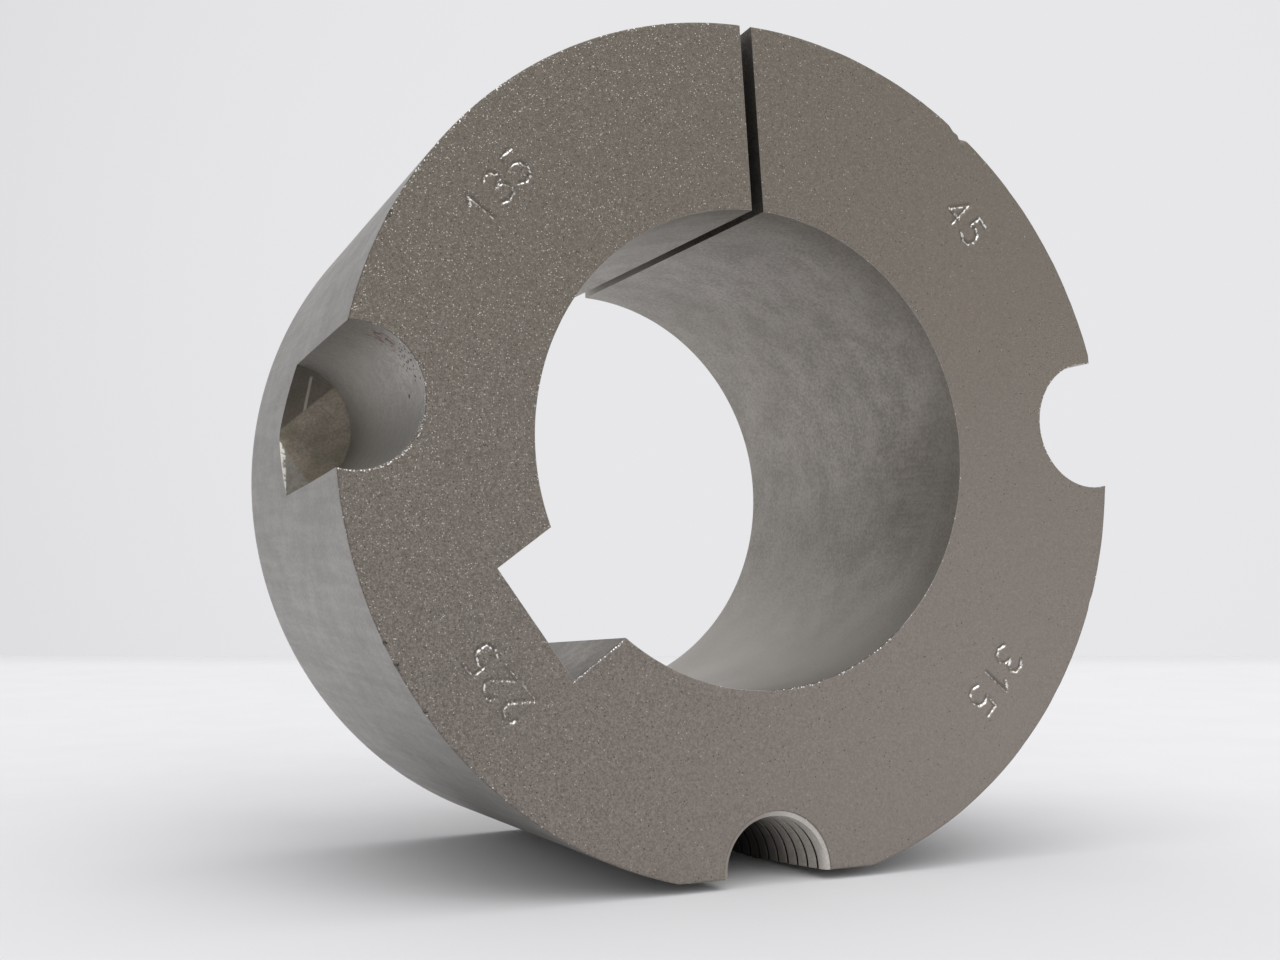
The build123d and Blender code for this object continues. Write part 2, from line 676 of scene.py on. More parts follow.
    def lay_out_columns(self) -> None:
        """Spread the columns over the stretches and keep each one's angle, edge and inner point.

        A column's share of its stretch is even, and so are its outer angle and, on an arc, its
        inner angle. On the keyway's straight runs the inner point moves evenly along the line.
        """
        outer, inner, edges, shares, keyed = [], [], [], [], []
        runs = self.stretches()
        for run in runs:
            share = np.arange(run.columns) / run.columns
            outer.append(run.outer[0] + share * (run.outer[1] - run.outer[0]))
            (a0, r0), (a1, r1) = run.inner
            if run.straight:
                start, end = polar(np.array(r0), np.array(a0)), polar(np.array(r1), np.array(a1))
                inner.append(start + share[:, None] * (end - start))
            else:
                inner.append(polar(np.full(run.columns, r0), a0 + share * (a1 - a0)))
            edges += [run.edge] * run.columns
            shares.append(share)
            keyed += [run.straight] * run.columns
        final = runs[-1]
        outer.append([final.outer[1]])
        inner.append(polar(np.array([final.inner[1][1]]), np.array([final.inner[1][0]])))
        edges.append(Edge.PLAIN)
        shares.append([0.0])
        self.outer = np.concatenate(outer)
        self.inner = np.concatenate(inner)
        self.edges = np.array([e.value for e in edges])
        self.share = np.concatenate(shares)
        self.keyed = np.array(keyed)
        self.count = len(self.outer)

    def home(self, seat: BlindSeat) -> float:
        """The seat's angle as the columns count it, past 360 for the right one."""
        return seat.angle + (360 if seat is self.right else 0)

    def on_edge(self, *kinds: Edge) -> Array:
        """Which columns have one of these edges outside."""
        return np.isin(self.edges, [kind.value for kind in kinds])

    def columns_of(self, edge: Edge) -> Array:
        """Numbers of the columns with this edge outside, and of the one that closes them."""
        mine = np.flatnonzero(self.on_edge(edge))
        return np.append(mine, mine[-1] + 1)

    @staticmethod
    def first_outside(names: Array) -> int:
        """Number of the first row of the outside."""
        return int(np.argmax(names == "outside"))

    def warped(self, angle: Array, z: Array) -> Array:
        """Ring angles that follow the lips, the flat's corner and the slit down the taper.

        Each feature shifts the columns beside it by how far it has moved since the large end, and
        the shift dies out evenly over the next few degrees.

        Args:
            angle: ring angles at the large end, in degrees.
            z: heights.

        Returns:
            The moved angles.
        """
        top = np.array(-self.ring.rim_break)
        result = angle + 0.0 * z
        for seat in (self.left, self.right):
            for side in (-1, 1):
                away = side * (angle - self.home(seat)) - seat.lip_angle(top)
                weight = np.where(away > -1e-9, np.clip(1 - away / self.lip_fade, 0, 1), 0)
                result = result + side * weight * (seat.lip_angle(z) - seat.lip_angle(top))
        corner = self.ring.flat_corner(top)
        moved = np.maximum(self.ring.flat_corner(z), self.least_corner)
        for side in (-1, 1):
            away = side * (angle - self.ring.flat_angle)
            rise = (away - self.flat_start) / (corner - self.flat_start)
            fall = 1 - (away - corner) / self.lip_fade
            weight = np.clip(np.minimum(rise, fall), 0, 1)
            result = result + side * weight * (moved - corner)
        for side, home in ((-1, self.outer[0]), (1, self.outer[-1])):
            weight = np.clip(1 - np.abs(angle - home) / self.slit_fade, 0, 1)
            radius = self.ring.taper_radius(z)
            shift = self.slit.wall_angle(side, radius) - self.slit.wall_angle(
                side, np.array(self.ring.large_radius))
            result = result + weight * shift
        return result

    def nicks(self) -> tuple[Array, Array, Array]:
        """Depth and ring angle of every nick in the outer rim, and its reach over the columns.

        Returns:
            Depths, ring angles, and the reach as an array of columns by nicks.
        """
        angle, depth, width = np.array(self.outside_nicks).T
        home = np.where(angle < self.turn_over, angle + 360, angle)
        return depth, home, np.exp(-((self.outer[:, None] - home) / width) ** 2)

    def rim_breaks(self) -> Array:
        """Size of the broken rim at the large end for each column, with its small nicks.

        Returns:
            One size for each column.
        """
        spread = wave_noise(5, self.outer, 9.0, 5)
        depth, _, reach = self.nicks()
        size = self.ring.rim_break * (1 + self.rim_roughness * spread) + (depth * reach).sum(1)
        from_tap = np.abs(self.outer - self.ring.flat_angle)
        near_tap = smooth_step((from_tap - self.calm_reach) / self.calm_fade)
        size = self.ring.rim_break + (size - self.ring.rim_break) * near_tap
        burr = smooth_step((self.share - 0.4) / 0.2) * self.on_edge(Edge.LEFT_SEAT)
        seat_size = self.seat_break + self.seat_burr * burr + 0.02 * spread
        size = np.where(self.on_edge(Edge.LEFT_SEAT, Edge.RIGHT_SEAT), seat_size, size)
        quiet = self.on_edge(Edge.TAPPED, Edge.STRIP)
        return np.where(quiet, self.ring.rim_break, np.maximum(size, self.least_break))

    def outside_points(self, breaks: Array) -> Array:
        """The outside of every column, in rows from the broken rim down to the foot's rim.

        A plain column runs down the taper. A column in an unthreaded seat runs down the wall,
        out along the drill point's cone and on down the taper. Near a seat's lips the plain rows
        bunch up as the seat's own do, so that they meet.

        Args:
            breaks: size of the broken rim of each column.

        Returns:
            Points of shape (columns, rows, 3).
        """
        rows = len(self.coarse)
        depth = self.left.depth
        foot = self.coarse[-1]
        wall, floor = self.wall_rows, self.floor_rows
        bunched = np.concatenate([
            np.linspace(self.coarse[0], -depth, wall + 1)[:-1],
            np.full(floor + 1, -depth),
            np.linspace(-depth, foot, rows - wall - floor)[1:],
        ])
        away = np.full(self.count, FAR)
        for seat in (self.left, self.right):
            lip = float(seat.lip_angle(np.array(-depth)))
            away = np.minimum(away, np.abs(self.outer - self.home(seat)) - lip)
        even = smooth_step(away / 9.0)[:, None]
        z = even * self.coarse[None, :] + (1 - even) * bunched[None, :]
        top_fade = np.clip((z + 1.5) / 1.25, 0, 1)
        z = z - (breaks[:, None] - self.ring.rim_break) * top_fade
        angle = self.warped(self.outer[:, None], z)
        radius = self.ring.outside_radius(angle, z)
        points = np.concatenate([polar(radius, angle), z[..., None]], axis=-1)
        for seat, edge in ((self.left, Edge.LEFT_SEAT), (self.right, Edge.RIGHT_SEAT)):
            mine = self.columns_of(edge)
            t = np.append(self.share[mine[:-1]], 1.0) * 2 - 1
            points[mine] = self.seat_points(seat, t, z[mine], bunched)
        lip = points[mine[-1], :, :2]
        inwards = -lip / np.linalg.norm(lip, axis=1, keepdims=True)
        onwards = np.stack([inwards[:, 1], -inwards[:, 0]], axis=1)
        worn = np.clip(1 - (np.arange(rows) - wall) / floor, 0, 1)[:, None]
        worn = worn * (self.worn_lip[0] * inwards + self.worn_lip[1] * onwards)
        points[mine[-1], :, :2] = lip + worn
        tapped = self.columns_of(Edge.TAPPED)
        t = np.linspace(-1, 1, len(tapped))
        points[tapped] = self.tapped.wall_points(t[:, None], self.coarse[None, :])
        self.tapped_columns = tapped
        return points

    def seat_points(self, seat: BlindSeat, t: Array, z: Array, bunched: Array) -> Array:
        """One unthreaded seat's columns: wall, drill-point floor and the taper below.

        Args:
            seat: the seat.
            t: place of each column from lip to lip, -1 to 1.
            z: heights of the rows of these columns.
            bunched: the seat's own heights, the floor's rows all at its depth.

        Returns:
            Points of shape (columns, rows, 3).
        """
        wall, floor = self.wall_rows, self.floor_rows
        points = np.zeros(z.shape + (3,))
        wall_z = z[:, : wall + 1].copy()
        wall_z[:, 1:] = bunched[1 : wall + 1]
        points[:, : wall + 1, :2] = seat.wall_point(t[:, None], wall_z)
        points[:, : wall + 1, 2] = wall_z
        exit_z = seat.mouth_height(t)
        exit_point = polar(self.ring.taper_radius(exit_z), seat.mouth_angle(t))
        inner = points[:, wall, :2]
        share = np.linspace(0, 1, floor + 1)[None, :, None]
        plan = inner[:, None] * (1 - share) + exit_point[:, None] * share
        points[:, wall : wall + floor + 1, :2] = plan
        points[:, wall : wall + floor + 1, 2] = seat.floor_height(plan)
        below = z.shape[1] - wall - floor - 1
        fall = np.linspace(0, 1, below + 1)[None, 1:]
        height = exit_z[:, None] * (1 - fall) + bunched[-1] * fall
        plan = polar(self.ring.taper_radius(height), seat.mouth_angle(t)[:, None] + 0 * height)
        points[:, wall + floor + 1 :, :2] = plan
        points[:, wall + floor + 1 :, 2] = height
        return points

    @staticmethod
    def plan_normals(line: Array) -> Array:
        """Unit normals, to the right of travel, of an open line in plan, mitred at its points.

        Args:
            line: plan points in order.

        Returns:
            A normal for each point, longer at a corner.
        """
        run = np.diff(line, axis=0)
        run /= np.maximum(np.linalg.norm(run, axis=1, keepdims=True), 1e-9)
        side = np.stack([run[:, 1], -run[:, 0]], axis=1)
        both = np.concatenate([side[:1], side[:-1] + side[1:], side[-1:]])
        both /= np.maximum(np.linalg.norm(both, axis=1, keepdims=True), 1e-9)
        reach = np.ones(len(line))
        reach[1:-1] = 1 / np.clip((both[1:-1] * side[1:]).sum(1), 0.75, 1)
        return both * reach[:, None]

    def face_shares(self, inner: Array, outer: Array) -> Array:
        """Where each face row stands between a column's inner and outer end, 0 to 1.

        Rows are close together across the band of the numbers, and the band's edges slide
        towards fixed shares of the width where a seat or the keyway cuts into the face. One more
        row runs close beside each edge, where the wear on the edge ends.

        Args:
            inner: inner ends in plan.
            outer: outer ends in plan.

        Returns:
            Shares of shape (columns, face rows).
        """
        near, far = np.linalg.norm(inner, axis=1), np.linalg.norm(outer, axis=1)
        span = far - near
        low = (self.number_band[0] - near) / span
        high = (self.number_band[1] - near) / span
        fits = smooth_step((far - self.band_room[0]) / self.band_room[1])
        low = fits * low + (1 - fits) * self.slid_band[0]
        high = fits * high + (1 - fits) * self.slid_band[1]
        kernel, beyond = np.ones(self.smoothing) / self.smoothing, self.smoothing // 2
        low = np.convolve(np.pad(low, beyond, mode="edge"), kernel, mode="valid")
        high = np.convolve(np.pad(high, beyond, mode="edge"), kernel, mode="valid")
        a = np.linspace(0, 1, self.inner_face_rows, endpoint=False)
        b = np.linspace(0, 1, self.number_rows, endpoint=False)
        c = np.linspace(0, 1, self.outer_face_rows + 1)
        band = (self.edge_band / span)[:, None]
        return np.concatenate([
            0 * band, band, low[:, None] * a[1:],
            low[:, None] + (high - low)[:, None] * b,
            high[:, None] + (1 - high)[:, None] * c[:-1], 1 - band, 1 + 0 * band,
        ], axis=1)

    def grid(self) -> tuple[Array, Array]:
        """The whole skin as columns of one closed half section.

        A column runs up the bore, over its broken edge, out across the large end face, over the
        rim, down the outside, round the foot's rim, in across the small end face and over the
        bore's other edge. Each broken edge is a quarter round: the point moves in by
        size * (1 - sin a) and down by size * (1 - cos a).

        Returns:
            Points of shape (columns, rows, 3) and each row's part of the section.
        """
        length, bore_break = self.ring.length, self.ring.bore_break
        breaks = self.rim_breaks()
        outside = self.outside_points(breaks)
        in_normal = -self.plan_normals(self.inner)
        top_normal = self.plan_normals(outside[:, 0, :2])
        foot_normal = self.plan_normals(outside[:, -1, :2])
        worn_in = self.bore_breaks()[:, None]
        inset_in = self.inner - in_normal * worn_in
        inset_top = outside[:, 0, :2] - top_normal * breaks[:, None]
        foot_break = self.ring.rim_break
        inset_foot = outside[:, -1, :2] - foot_normal * foot_break
        parts, names = [], []

        def add(points: Array, name: str) -> None:
            """Put rows of points after the last ones, under the section part's name."""
            parts.append(points)
            names.extend([name] * points.shape[1])

        def quarter(rows: int) -> Array:
            """Turns of a broken edge's rows between its two ends, in a quarter circle."""
            return np.linspace(0, math.pi / 2, rows + 1)[1:-1]

        def stack(plan: Array, z: Array) -> Array:
            """Plan points with a height for each, or one for all."""
            return np.concatenate([plan, np.broadcast_to(z, plan.shape[:-1])[..., None]], axis=-1)

        z = np.linspace(0, 1, self.bore_rows + 1)
        z = (z - 0.12 * np.sin(2 * math.pi * z) / (2 * math.pi))[None, :]
        lift = (bore_break - length) * (1 - z) - worn_in * z
        add(stack(np.repeat(self.inner[:, None], self.bore_rows + 1, 1), lift), "bore")
        turn = quarter(self.bore_round_rows)
        plan = self.inner[:, None] + (inset_in - self.inner)[:, None] * (1 - np.cos(turn))[None, :, None]
        add(stack(plan, -worn_in * (1 - np.sin(turn))), "bore_edge")
        shares = self.face_shares(inset_in, inset_top)
        plan = inset_in[:, None] + (inset_top - inset_in)[:, None] * shares[..., None]
        depth, self.glint_and_shade = self.numbers.sink(plan)
        add(stack(plan, -depth), "face")
        turn = quarter(self.round_rows)
        out = (outside[:, 0, :2] - inset_top)[:, None]
        plan = inset_top[:, None] + out * np.sin(turn)[None, :, None]
        drop = -outside[:, :1, 2]
        add(stack(plan, -drop * (1 - np.cos(turn))), "rim")
        add(outside, "outside")
        out = (outside[:, -1, :2] - inset_foot)[:, None]
        plan = inset_foot[:, None] + out * np.cos(turn)[None, :, None]
        add(stack(plan, -length + foot_break * (1 - np.sin(turn))), "foot_rim")
        inset_low = self.inner - in_normal * bore_break
        s = np.linspace(0, 1, self.foot_rows + 1)[None, :, None]
        plan = inset_foot[:, None] * (1 - s) + inset_low[:, None] * s
        add(stack(plan, np.array(-length)), "foot")
        turn = quarter(self.bore_round_rows)
        plan = self.inner[:, None] + (inset_low - self.inner)[:, None] * (1 - np.sin(turn))[None, :, None]
        add(stack(plan, -length + bore_break * (1 - np.cos(turn))), "bore_foot")
        return np.concatenate(parts, axis=1), np.array(names)

    def inner_wear(self) -> Array:
        """How worn the bore's and the keyway's front edge is at each column, 0 to 1.

        In the bore it comes from the table, by ring angle. In the keyway only the edge of the
        lower side wall is worn.

        Returns:
            One value for each column.
        """
        angle = np.degrees(np.arctan2(self.inner[:, 1], self.inner[:, 0])) % 360
        key = math.radians(self.keyway.angle)
        across = self.inner @ np.array([-math.sin(key), math.cos(key)])
        keyed = np.where(across > self.keyway.width / 2 - 0.1, *self.key_wear)
        return np.where(np.append(self.keyed, False), keyed, np.interp(angle, *zip(*self.bore_wear)))

    def bore_breaks(self) -> Array:
        """Size of the bore's broken front edge at each column, larger where it is worn."""
        noise = 1 + 0.25 * wave_noise(3, self.outer, 7.0, 5)
        return self.ring.bore_break * noise * (0.6 + 1.8 * self.inner_wear())

    # ---- mesh

    def skin_of(self, names: Array) -> Array:
        """Material of every cell, by the part of the section and what the column has outside.

        Args:
            names: each row's part of the section.

        Returns:
            Material numbers of shape (columns - 1, rows).
        """
        cells = np.full((self.count - 1, len(names)), Skin.FACE.value)
        row = names[None, :]
        keyed = self.keyed[:, None]
        in_bore = np.isin(row, ["bore", "bore_edge", "bore_foot"]) & np.ones_like(keyed)
        cells[in_bore] = Skin.BORE.value
        cells[in_bore & keyed] = Skin.KEYWAY.value
        outside = np.isin(row, ["outside", "foot_rim"]) & np.ones_like(keyed)
        cells[outside] = Skin.TAPER.value
        index = np.arange(len(names))[None, :] - self.first_outside(names)
        seat = self.on_edge(Edge.LEFT_SEAT, Edge.RIGHT_SEAT)[:-1, None]
        cells[seat & (index >= 0) & (index < self.wall_rows)] = Skin.DRILLED.value
        floor = (index >= self.wall_rows) & (index < self.wall_rows + self.floor_rows)
        cells[seat & floor] = Skin.DRILL_POINT.value
        return cells

    def build(self) -> bpy.types.Object:
        """Make the closed mesh: the grid, its two slit walls and the threaded wall.

        Cells join each column to the next and each row to the next, the last row to the first.
        The tapped seat's coarse cells give way to its fine ones, and each cell of the strips
        beside it takes four fine edges on its side towards the thread.

        Returns:
            The piece, in the row frame, with no materials yet.
        """
        points, names = self.grid()
        count, rows = points.shape[:2]
        index = np.arange(count * rows).reshape(count, rows)
        first = self.first_outside(names)
        last = first + len(self.coarse) - 1
        skins = self.skin_of(names)
        below = np.roll(index, -1, axis=1)
        quads = np.stack([index[:-1], index[1:], below[1:], below[:-1]], axis=-1)
        keep = np.ones(quads.shape[:2], bool)
        special = self.on_edge(Edge.TAPPED, Edge.STRIP)[:-1]
        keep[special, first:last] = False
        fine_points, fine_index = self.threaded_wall(index, first, last, count * rows)
        cols = self.tapped_columns
        wall = np.stack([fine_index[:-1, :-1], fine_index[1:, :-1],
                         fine_index[1:, 1:], fine_index[:-1, 1:]], axis=-1)
        wall_skins = np.full(wall.shape[:2], Skin.THREAD.value)
        wall_skins[:, : self.tapped.lead_rows + 2] = Skin.LEAD_IN.value
        wall = wall.reshape(-1, 4)
        strips = self.strip_cells(index, fine_index, cols, first, last)
        faces = [quads[keep], wall, strips, np.stack([index[0][::-1], index[-1]])]
        materials = np.concatenate([
            skins[keep], wall_skins.ravel(),
            np.full(len(strips), Skin.TAPER.value), [Skin.SAWN.value] * 2,
        ])
        every = np.concatenate([points.reshape(-1, 3), fine_points])
        marks = {"worn": self.worn_marks(names), "chip": self.chip_marks(names),
                 "glint_and_shade": np.zeros((count, rows))}
        marks["glint_and_shade"][:, names == "face"] = self.glint_and_shade
        marks.update(self.floor_marks(points, names))
        spare = np.zeros(len(fine_points))
        marks = {name: np.concatenate([m.ravel(), spare]) for name, m in marks.items()}
        marks["groove"] = np.concatenate([np.zeros(count * rows), self.tapped.cut_share(fine_points)])
        return self.to_mesh(every, faces, materials, marks)

    def worn_marks(self, names: Array) -> Array:
        """How bright each broken edge is worn, 0 to 1, by its place round the ring: rubbed metal, and partly
        a painted glint where the edge catches the light.

        The table gives the wear at ring angles, and the wear between them is interpolated. The
        seats' rims and the bore's edge have tables of their own.

        Args:
            names: each row's part of the section.

        Returns:
            Wear of shape (columns, rows).
        """
        rim = np.interp(self.outer, *zip(*self.rim_wear))
        seat = self.on_edge(Edge.LEFT_SEAT, Edge.RIGHT_SEAT)
        rim = np.where(seat, np.interp(self.share, *zip(*self.seat_wear)), rim)
        bore = self.inner_wear()
        marks = np.zeros((self.count, len(names)))
        first = self.first_outside(names)
        rim_rows = names == "rim"
        rim_rows[first] = True
        marks[:, rim_rows] = rim[:, None]
        marks[:, np.isin(names, ["foot_rim", "bore_foot"])] = self.foot_wear
        marks[:, names == "bore_edge"] = bore[:, None]
        face = np.flatnonzero(names == "face")
        marks[:, face[0]], marks[:, face[-1]] = bore, rim
        return marks

    def chip_marks(self, names: Array) -> Array:
        """How much each point lies in a nick of the outer rim, 0 to 1, for the painted shade in it.

        Only the deeper nicks get the painted shade, and those on the upper right get none.

        Args:
            names: each row's part of the section.

        Returns:
            Marks of shape (columns, rows).
        """
        depth, home, reach = self.nicks()
        chip = (reach * (depth > self.chip_depth) * (home < 360)).max(axis=1)
        marks = np.zeros((self.count, len(names)))
        first = self.first_outside(names)
        marks[:, np.flatnonzero(names == "rim")] = chip[:, None]
        marks[:, first] = chip
        marks[:, np.flatnonzero(names == "face")[-1]] = chip
        return marks

    def floor_marks(self, points: Array, names: Array) -> dict[str, Array]:
        """Where each floor point lies in its seat, in millimetres, for the drill point's finish.

        "inward" is the distance from the hole's axis towards the bush's axis, and "sideways" the
        distance across, positive towards the lip that lies lower on the resting bush.

        Args:
            points: points of the grid.
            names: each row's part of the section.

        Returns:
            The marks by name, 0 off the floors.
        """
        marks = {name: np.zeros(points.shape[:2]) for name in ("inward", "sideways", "brink")}
        first = self.first_outside(names) + self.wall_rows
        rows = slice(first, first + self.floor_rows + 1)
        for seat, edge, side in ((self.left, Edge.LEFT_SEAT, 1), (self.right, Edge.RIGHT_SEAT, -1)):
            mine = self.columns_of(edge)
            a = math.radians(seat.angle)
            plan = points[mine, rows, :2]
            marks["inward"][mine, rows] = seat.centre - plan @ np.array([math.cos(a), math.sin(a)])
            marks["sideways"][mine, rows] = side * (plan @ np.array([-math.sin(a), math.cos(a)]))
            marks["brink"][mine, first + self.floor_rows] = 1.0
        return marks

    def threaded_wall(self, index: Array, first: int, last: int, free: int) -> tuple[Array, Array]:
        """Fine points of the tapped seat and their numbers, which share the grid's end rows.

        Args:
            index: numbers of the grid's points.
            first: first row of the outside.
            last: last row of the outside.
            free: first number that is free.

        Returns:
            The new points, and the numbers of all the wall's points.
        """
        cols = self.tapped_columns
        t = np.linspace(-1, 1, len(cols))
        fine = self.tapped.wall_points(t[:, None], self.fine[None, :])
        inner = fine[:, 1:-1]
        numbers = np.zeros(fine.shape[:2], int)
        numbers[:, 1:-1] = free + np.arange(inner.shape[0] * inner.shape[1]).reshape(inner.shape[:2])
        numbers[:, 0] = index[cols, first]
        numbers[:, -1] = index[cols, last]
        return inner.reshape(-1, 3), numbers

    def strip_cells(self, index: Array, fine: Array, cols: Array, first: int, last: int) -> Array:
        """Cells of seven corners between the thread's lips and the plain columns beside them.

        Args:
            index: numbers of the grid's points.
            fine: numbers of the threaded wall's points.
            cols: columns of the tapped seat.
            first: first row of the outside.
            last: last row of the outside.

        Returns:
            Corner numbers, seven to a cell.
        """
        n = last - first
        starts = np.arange(n) * 4
        left = index[cols[0] - 1]
        right = index[cols[-1] + 1]
        ladder = fine[:, starts[:, None] + np.arange(5)[None, :]]
        a = np.concatenate([left[first:last, None], ladder[0], left[first + 1 : last + 1, None]], axis=1)
        b = np.concatenate([right[first:last, None], ladder[-1], right[first + 1 : last + 1, None]], axis=1)
        return np.concatenate([a, b[:, ::-1]])

    def set_down(self, points: Array) -> Array:
        """From the bush's own frame to the row frame, in metres: stood up, leaned back, moved.

        Args:
            points: points in the bush's own frame.

        Returns:
            Points in the row frame.
        """
        s, c = math.sin(math.radians(self.lean)), math.cos(math.radians(self.lean))
        x, y, z = points.T
        ox, oy, oz = self.face_centre
        return np.stack([ox + x, oy + y * s - z * c, oz + y * c + z * s], axis=1) * MM

    def to_mesh(self, points: Array, faces: list[Array], materials: Array,
                marks: dict[str, Array]) -> bpy.types.Object:
        """Put the arrays into a mesh, merge its doubles, turn it outwards and mark sharp edges.

        Args:
            points: every point in the bush's own frame.
            faces: corner numbers of the faces, one array for each number of corners.
            materials: material slot of each face.
            marks: named marks for the finishes, one number for each point.

        Returns:
            The piece, linked into the scene.
        """
        used = np.zeros(len(points), bool)
        for block in faces:
            used[block] = True
        renumber = np.cumsum(used) - 1
        corners = []
        for block in faces:
            corners += renumber[block].tolist()
        mesh = bpy.data.meshes.new(self.name)
        mesh.from_pydata(self.set_down(points[used]), [], corners)
        mesh.polygons.foreach_set("material_index", materials.astype(np.int32))
        for name, values in marks.items():
            layer = mesh.attributes.new(name, "FLOAT", "POINT")
            layer.data.foreach_set("value", values[used].astype(np.float32))
        work = bmesh.new()
        work.from_mesh(mesh)
        bmesh.ops.remove_doubles(work, verts=work.verts, dist=self.merge_distance)
        bmesh.ops.dissolve_degenerate(work, edges=work.edges, dist=self.merge_distance)
        bmesh.ops.recalc_face_normals(work, faces=work.faces)
        if work.calc_volume(signed=True) < 0:
            bmesh.ops.reverse_faces(work, faces=work.faces)
        open_edges = sum(1 for e in work.edges if not e.is_manifold)
        work.to_mesh(mesh)
        LOG.info("skin: %d points, %d faces, %d open edges, %.0f mm3", len(work.verts),
                 len(work.faces), open_edges, work.calc_volume() * 1e9)
        work.free()
        mesh.polygons.foreach_set("use_smooth", np.ones(len(mesh.polygons), bool))
        mesh.set_sharp_from_angle(angle=math.radians(self.sharp_angle))
        piece = bpy.data.objects.new(self.name, mesh)
        bpy.context.scene.collection.objects.link(piece)
        return piece


# ---------------------------------------------------------------- finishes


class NodeBench:
    """A workbench for one node tree: adds nodes, sets their plain values and links them."""

    def __init__(self, tree: bpy.types.NodeTree) -> None:
        """Start with the tree emptied."""
        self.tree = tree
        tree.nodes.clear()

    def add(self, kind: str, **settings: object) -> bpy.types.Node:
        """Add a node of a kind and set its properties, or its inputs by name.

        Args:
            kind: Blender's name of the node's type.
            settings: values by name, with _ for a space in an input's name.

        Returns:
            The node.
        """
        node = self.tree.nodes.new(kind)
        for key, value in settings.items():
            if hasattr(node, key):
                setattr(node, key, value)
            else:
                node.inputs[key.replace("_", " ")].default_value = value
        return node

    def link(self, source: Socket, target: Socket) -> None:
        """Join an output to an input."""
        self.tree.links.new(source, target)

    def math(self, operation: str, a: Socket | float, b: Socket | float = 0.0,
             clamp: bool = False) -> Socket:
        """One Math node on sockets or numbers.

        Args:
            operation: which sum.
            a: first term.
            b: second term.
            clamp: hold the result to 0 to 1.

        Returns:
            The result.
        """
        node = self.tree.nodes.new("ShaderNodeMath")
        node.operation, node.use_clamp = operation, clamp
        for place, value in enumerate((a, b)):
            if isinstance(value, (int, float)):
                node.inputs[place].default_value = value
            else:
                self.link(value, node.inputs[place])
        return node.outputs[0]

    def times(self, a: Socket | float, b: Socket | float) -> Socket:
        """The product of two sockets or numbers."""
        return self.math("MULTIPLY", a, b)

    def ramp(self, value: Socket, low: float, high: float,
             start: float = 0.0, end: float = 1.0) -> Socket:
        """Map low..high to start..end, smoothly and held at the ends.

        Args:
            value: what is mapped.
            low: value that gives the start.
            high: value that gives the end.
            start: result at and before low.
            end: result at and past high.

        Returns:
            The result.
        """
        node = self.add("ShaderNodeMapRange", interpolation_type="SMOOTHSTEP")
        self.link(value, node.inputs["Value"])
        for name, number in (("From Min", low), ("From Max", high), ("To Min", start), ("To Max", end)):
            node.inputs[name].default_value = number
        return node.outputs["Result"]

    def mix(self, share: Socket | float, first: Socket | tuple, second: Socket | tuple) -> Socket:
        """Mix two colours by a share.

        Args:
            share: share of the second colour.
            first: first colour.
            second: second colour.

        Returns:
            The colour.
        """
        node = self.add("ShaderNodeMix", data_type="RGBA")
        for place, value in ((0, share), (6, first), (7, second)):
            if isinstance(value, (int, float, tuple)):
                node.inputs[place].default_value = value
            else:
                self.link(value, node.inputs[place])
        return node.outputs[2]

    def noise(self, where: Socket, scale: float, detail: float = 2.0,
              rough: float = 0.5) -> Socket:
        """A noise texture on the given coordinates.

        Args:
            where: coordinates.
            scale: waves to the unit.
            detail: how many finer octaves.
            rough: strength of the finer octaves.

        Returns:
            The noise's value.
        """
        node = self.add("ShaderNodeTexNoise", Scale=scale, Detail=detail, Roughness=rough)
        self.link(where, node.inputs["Vector"])
        return node.outputs[0]

    def tint(self, share: Socket, colour: Socket, tint: Colour) -> Socket:
        """Mix a plain tint into a colour by a share."""
        return self.mix(share, colour, (*tint, 1.0))

    def mark(self, name: str) -> Socket:
        """One of the mesh's own marks, as a number."""
        return self.add("ShaderNodeAttribute", attribute_name=name).outputs["Fac"]

    def along(self, where: Socket, way: Triple) -> Socket:
        """Distance along a way: the dot product of the place and the way.

        Args:
            where: coordinates.
            way: the direction, whose length scales the distance.

        Returns:
            The distance.
        """
        node = self.add("ShaderNodeVectorMath", operation="DOT_PRODUCT")
        self.link(where, node.inputs[0])
        node.inputs[1].default_value = way
        return node.outputs["Value"]

    def lines(self, where: Socket, stretch: Triple) -> Socket:
        """Noise drawn out into lines by scaling the coordinates.

        Args:
            where: coordinates.
            stretch: scale along each axis, least along the lines.

        Returns:
            The noise's value.
        """
        lay = self.add("ShaderNodeMapping", vector_type="POINT")
        lay.inputs["Scale"].default_value = stretch
        self.link(where, lay.inputs["Vector"])
        return self.noise(lay.outputs[0], 1.0, 3.0, 0.6)

    def group(self, tree: bpy.types.NodeTree, where: Socket, **inputs: float) -> bpy.types.Node:
        """A shared effect at the given coordinates.

        Args:
            tree: the effect's node group.
            where: coordinates.
            inputs: the group's other inputs by name.

        Returns:
            The group's node.
        """
        node = self.add("ShaderNodeGroup", node_tree=tree, **inputs)
        self.link(where, node.inputs["Where"])
        return node


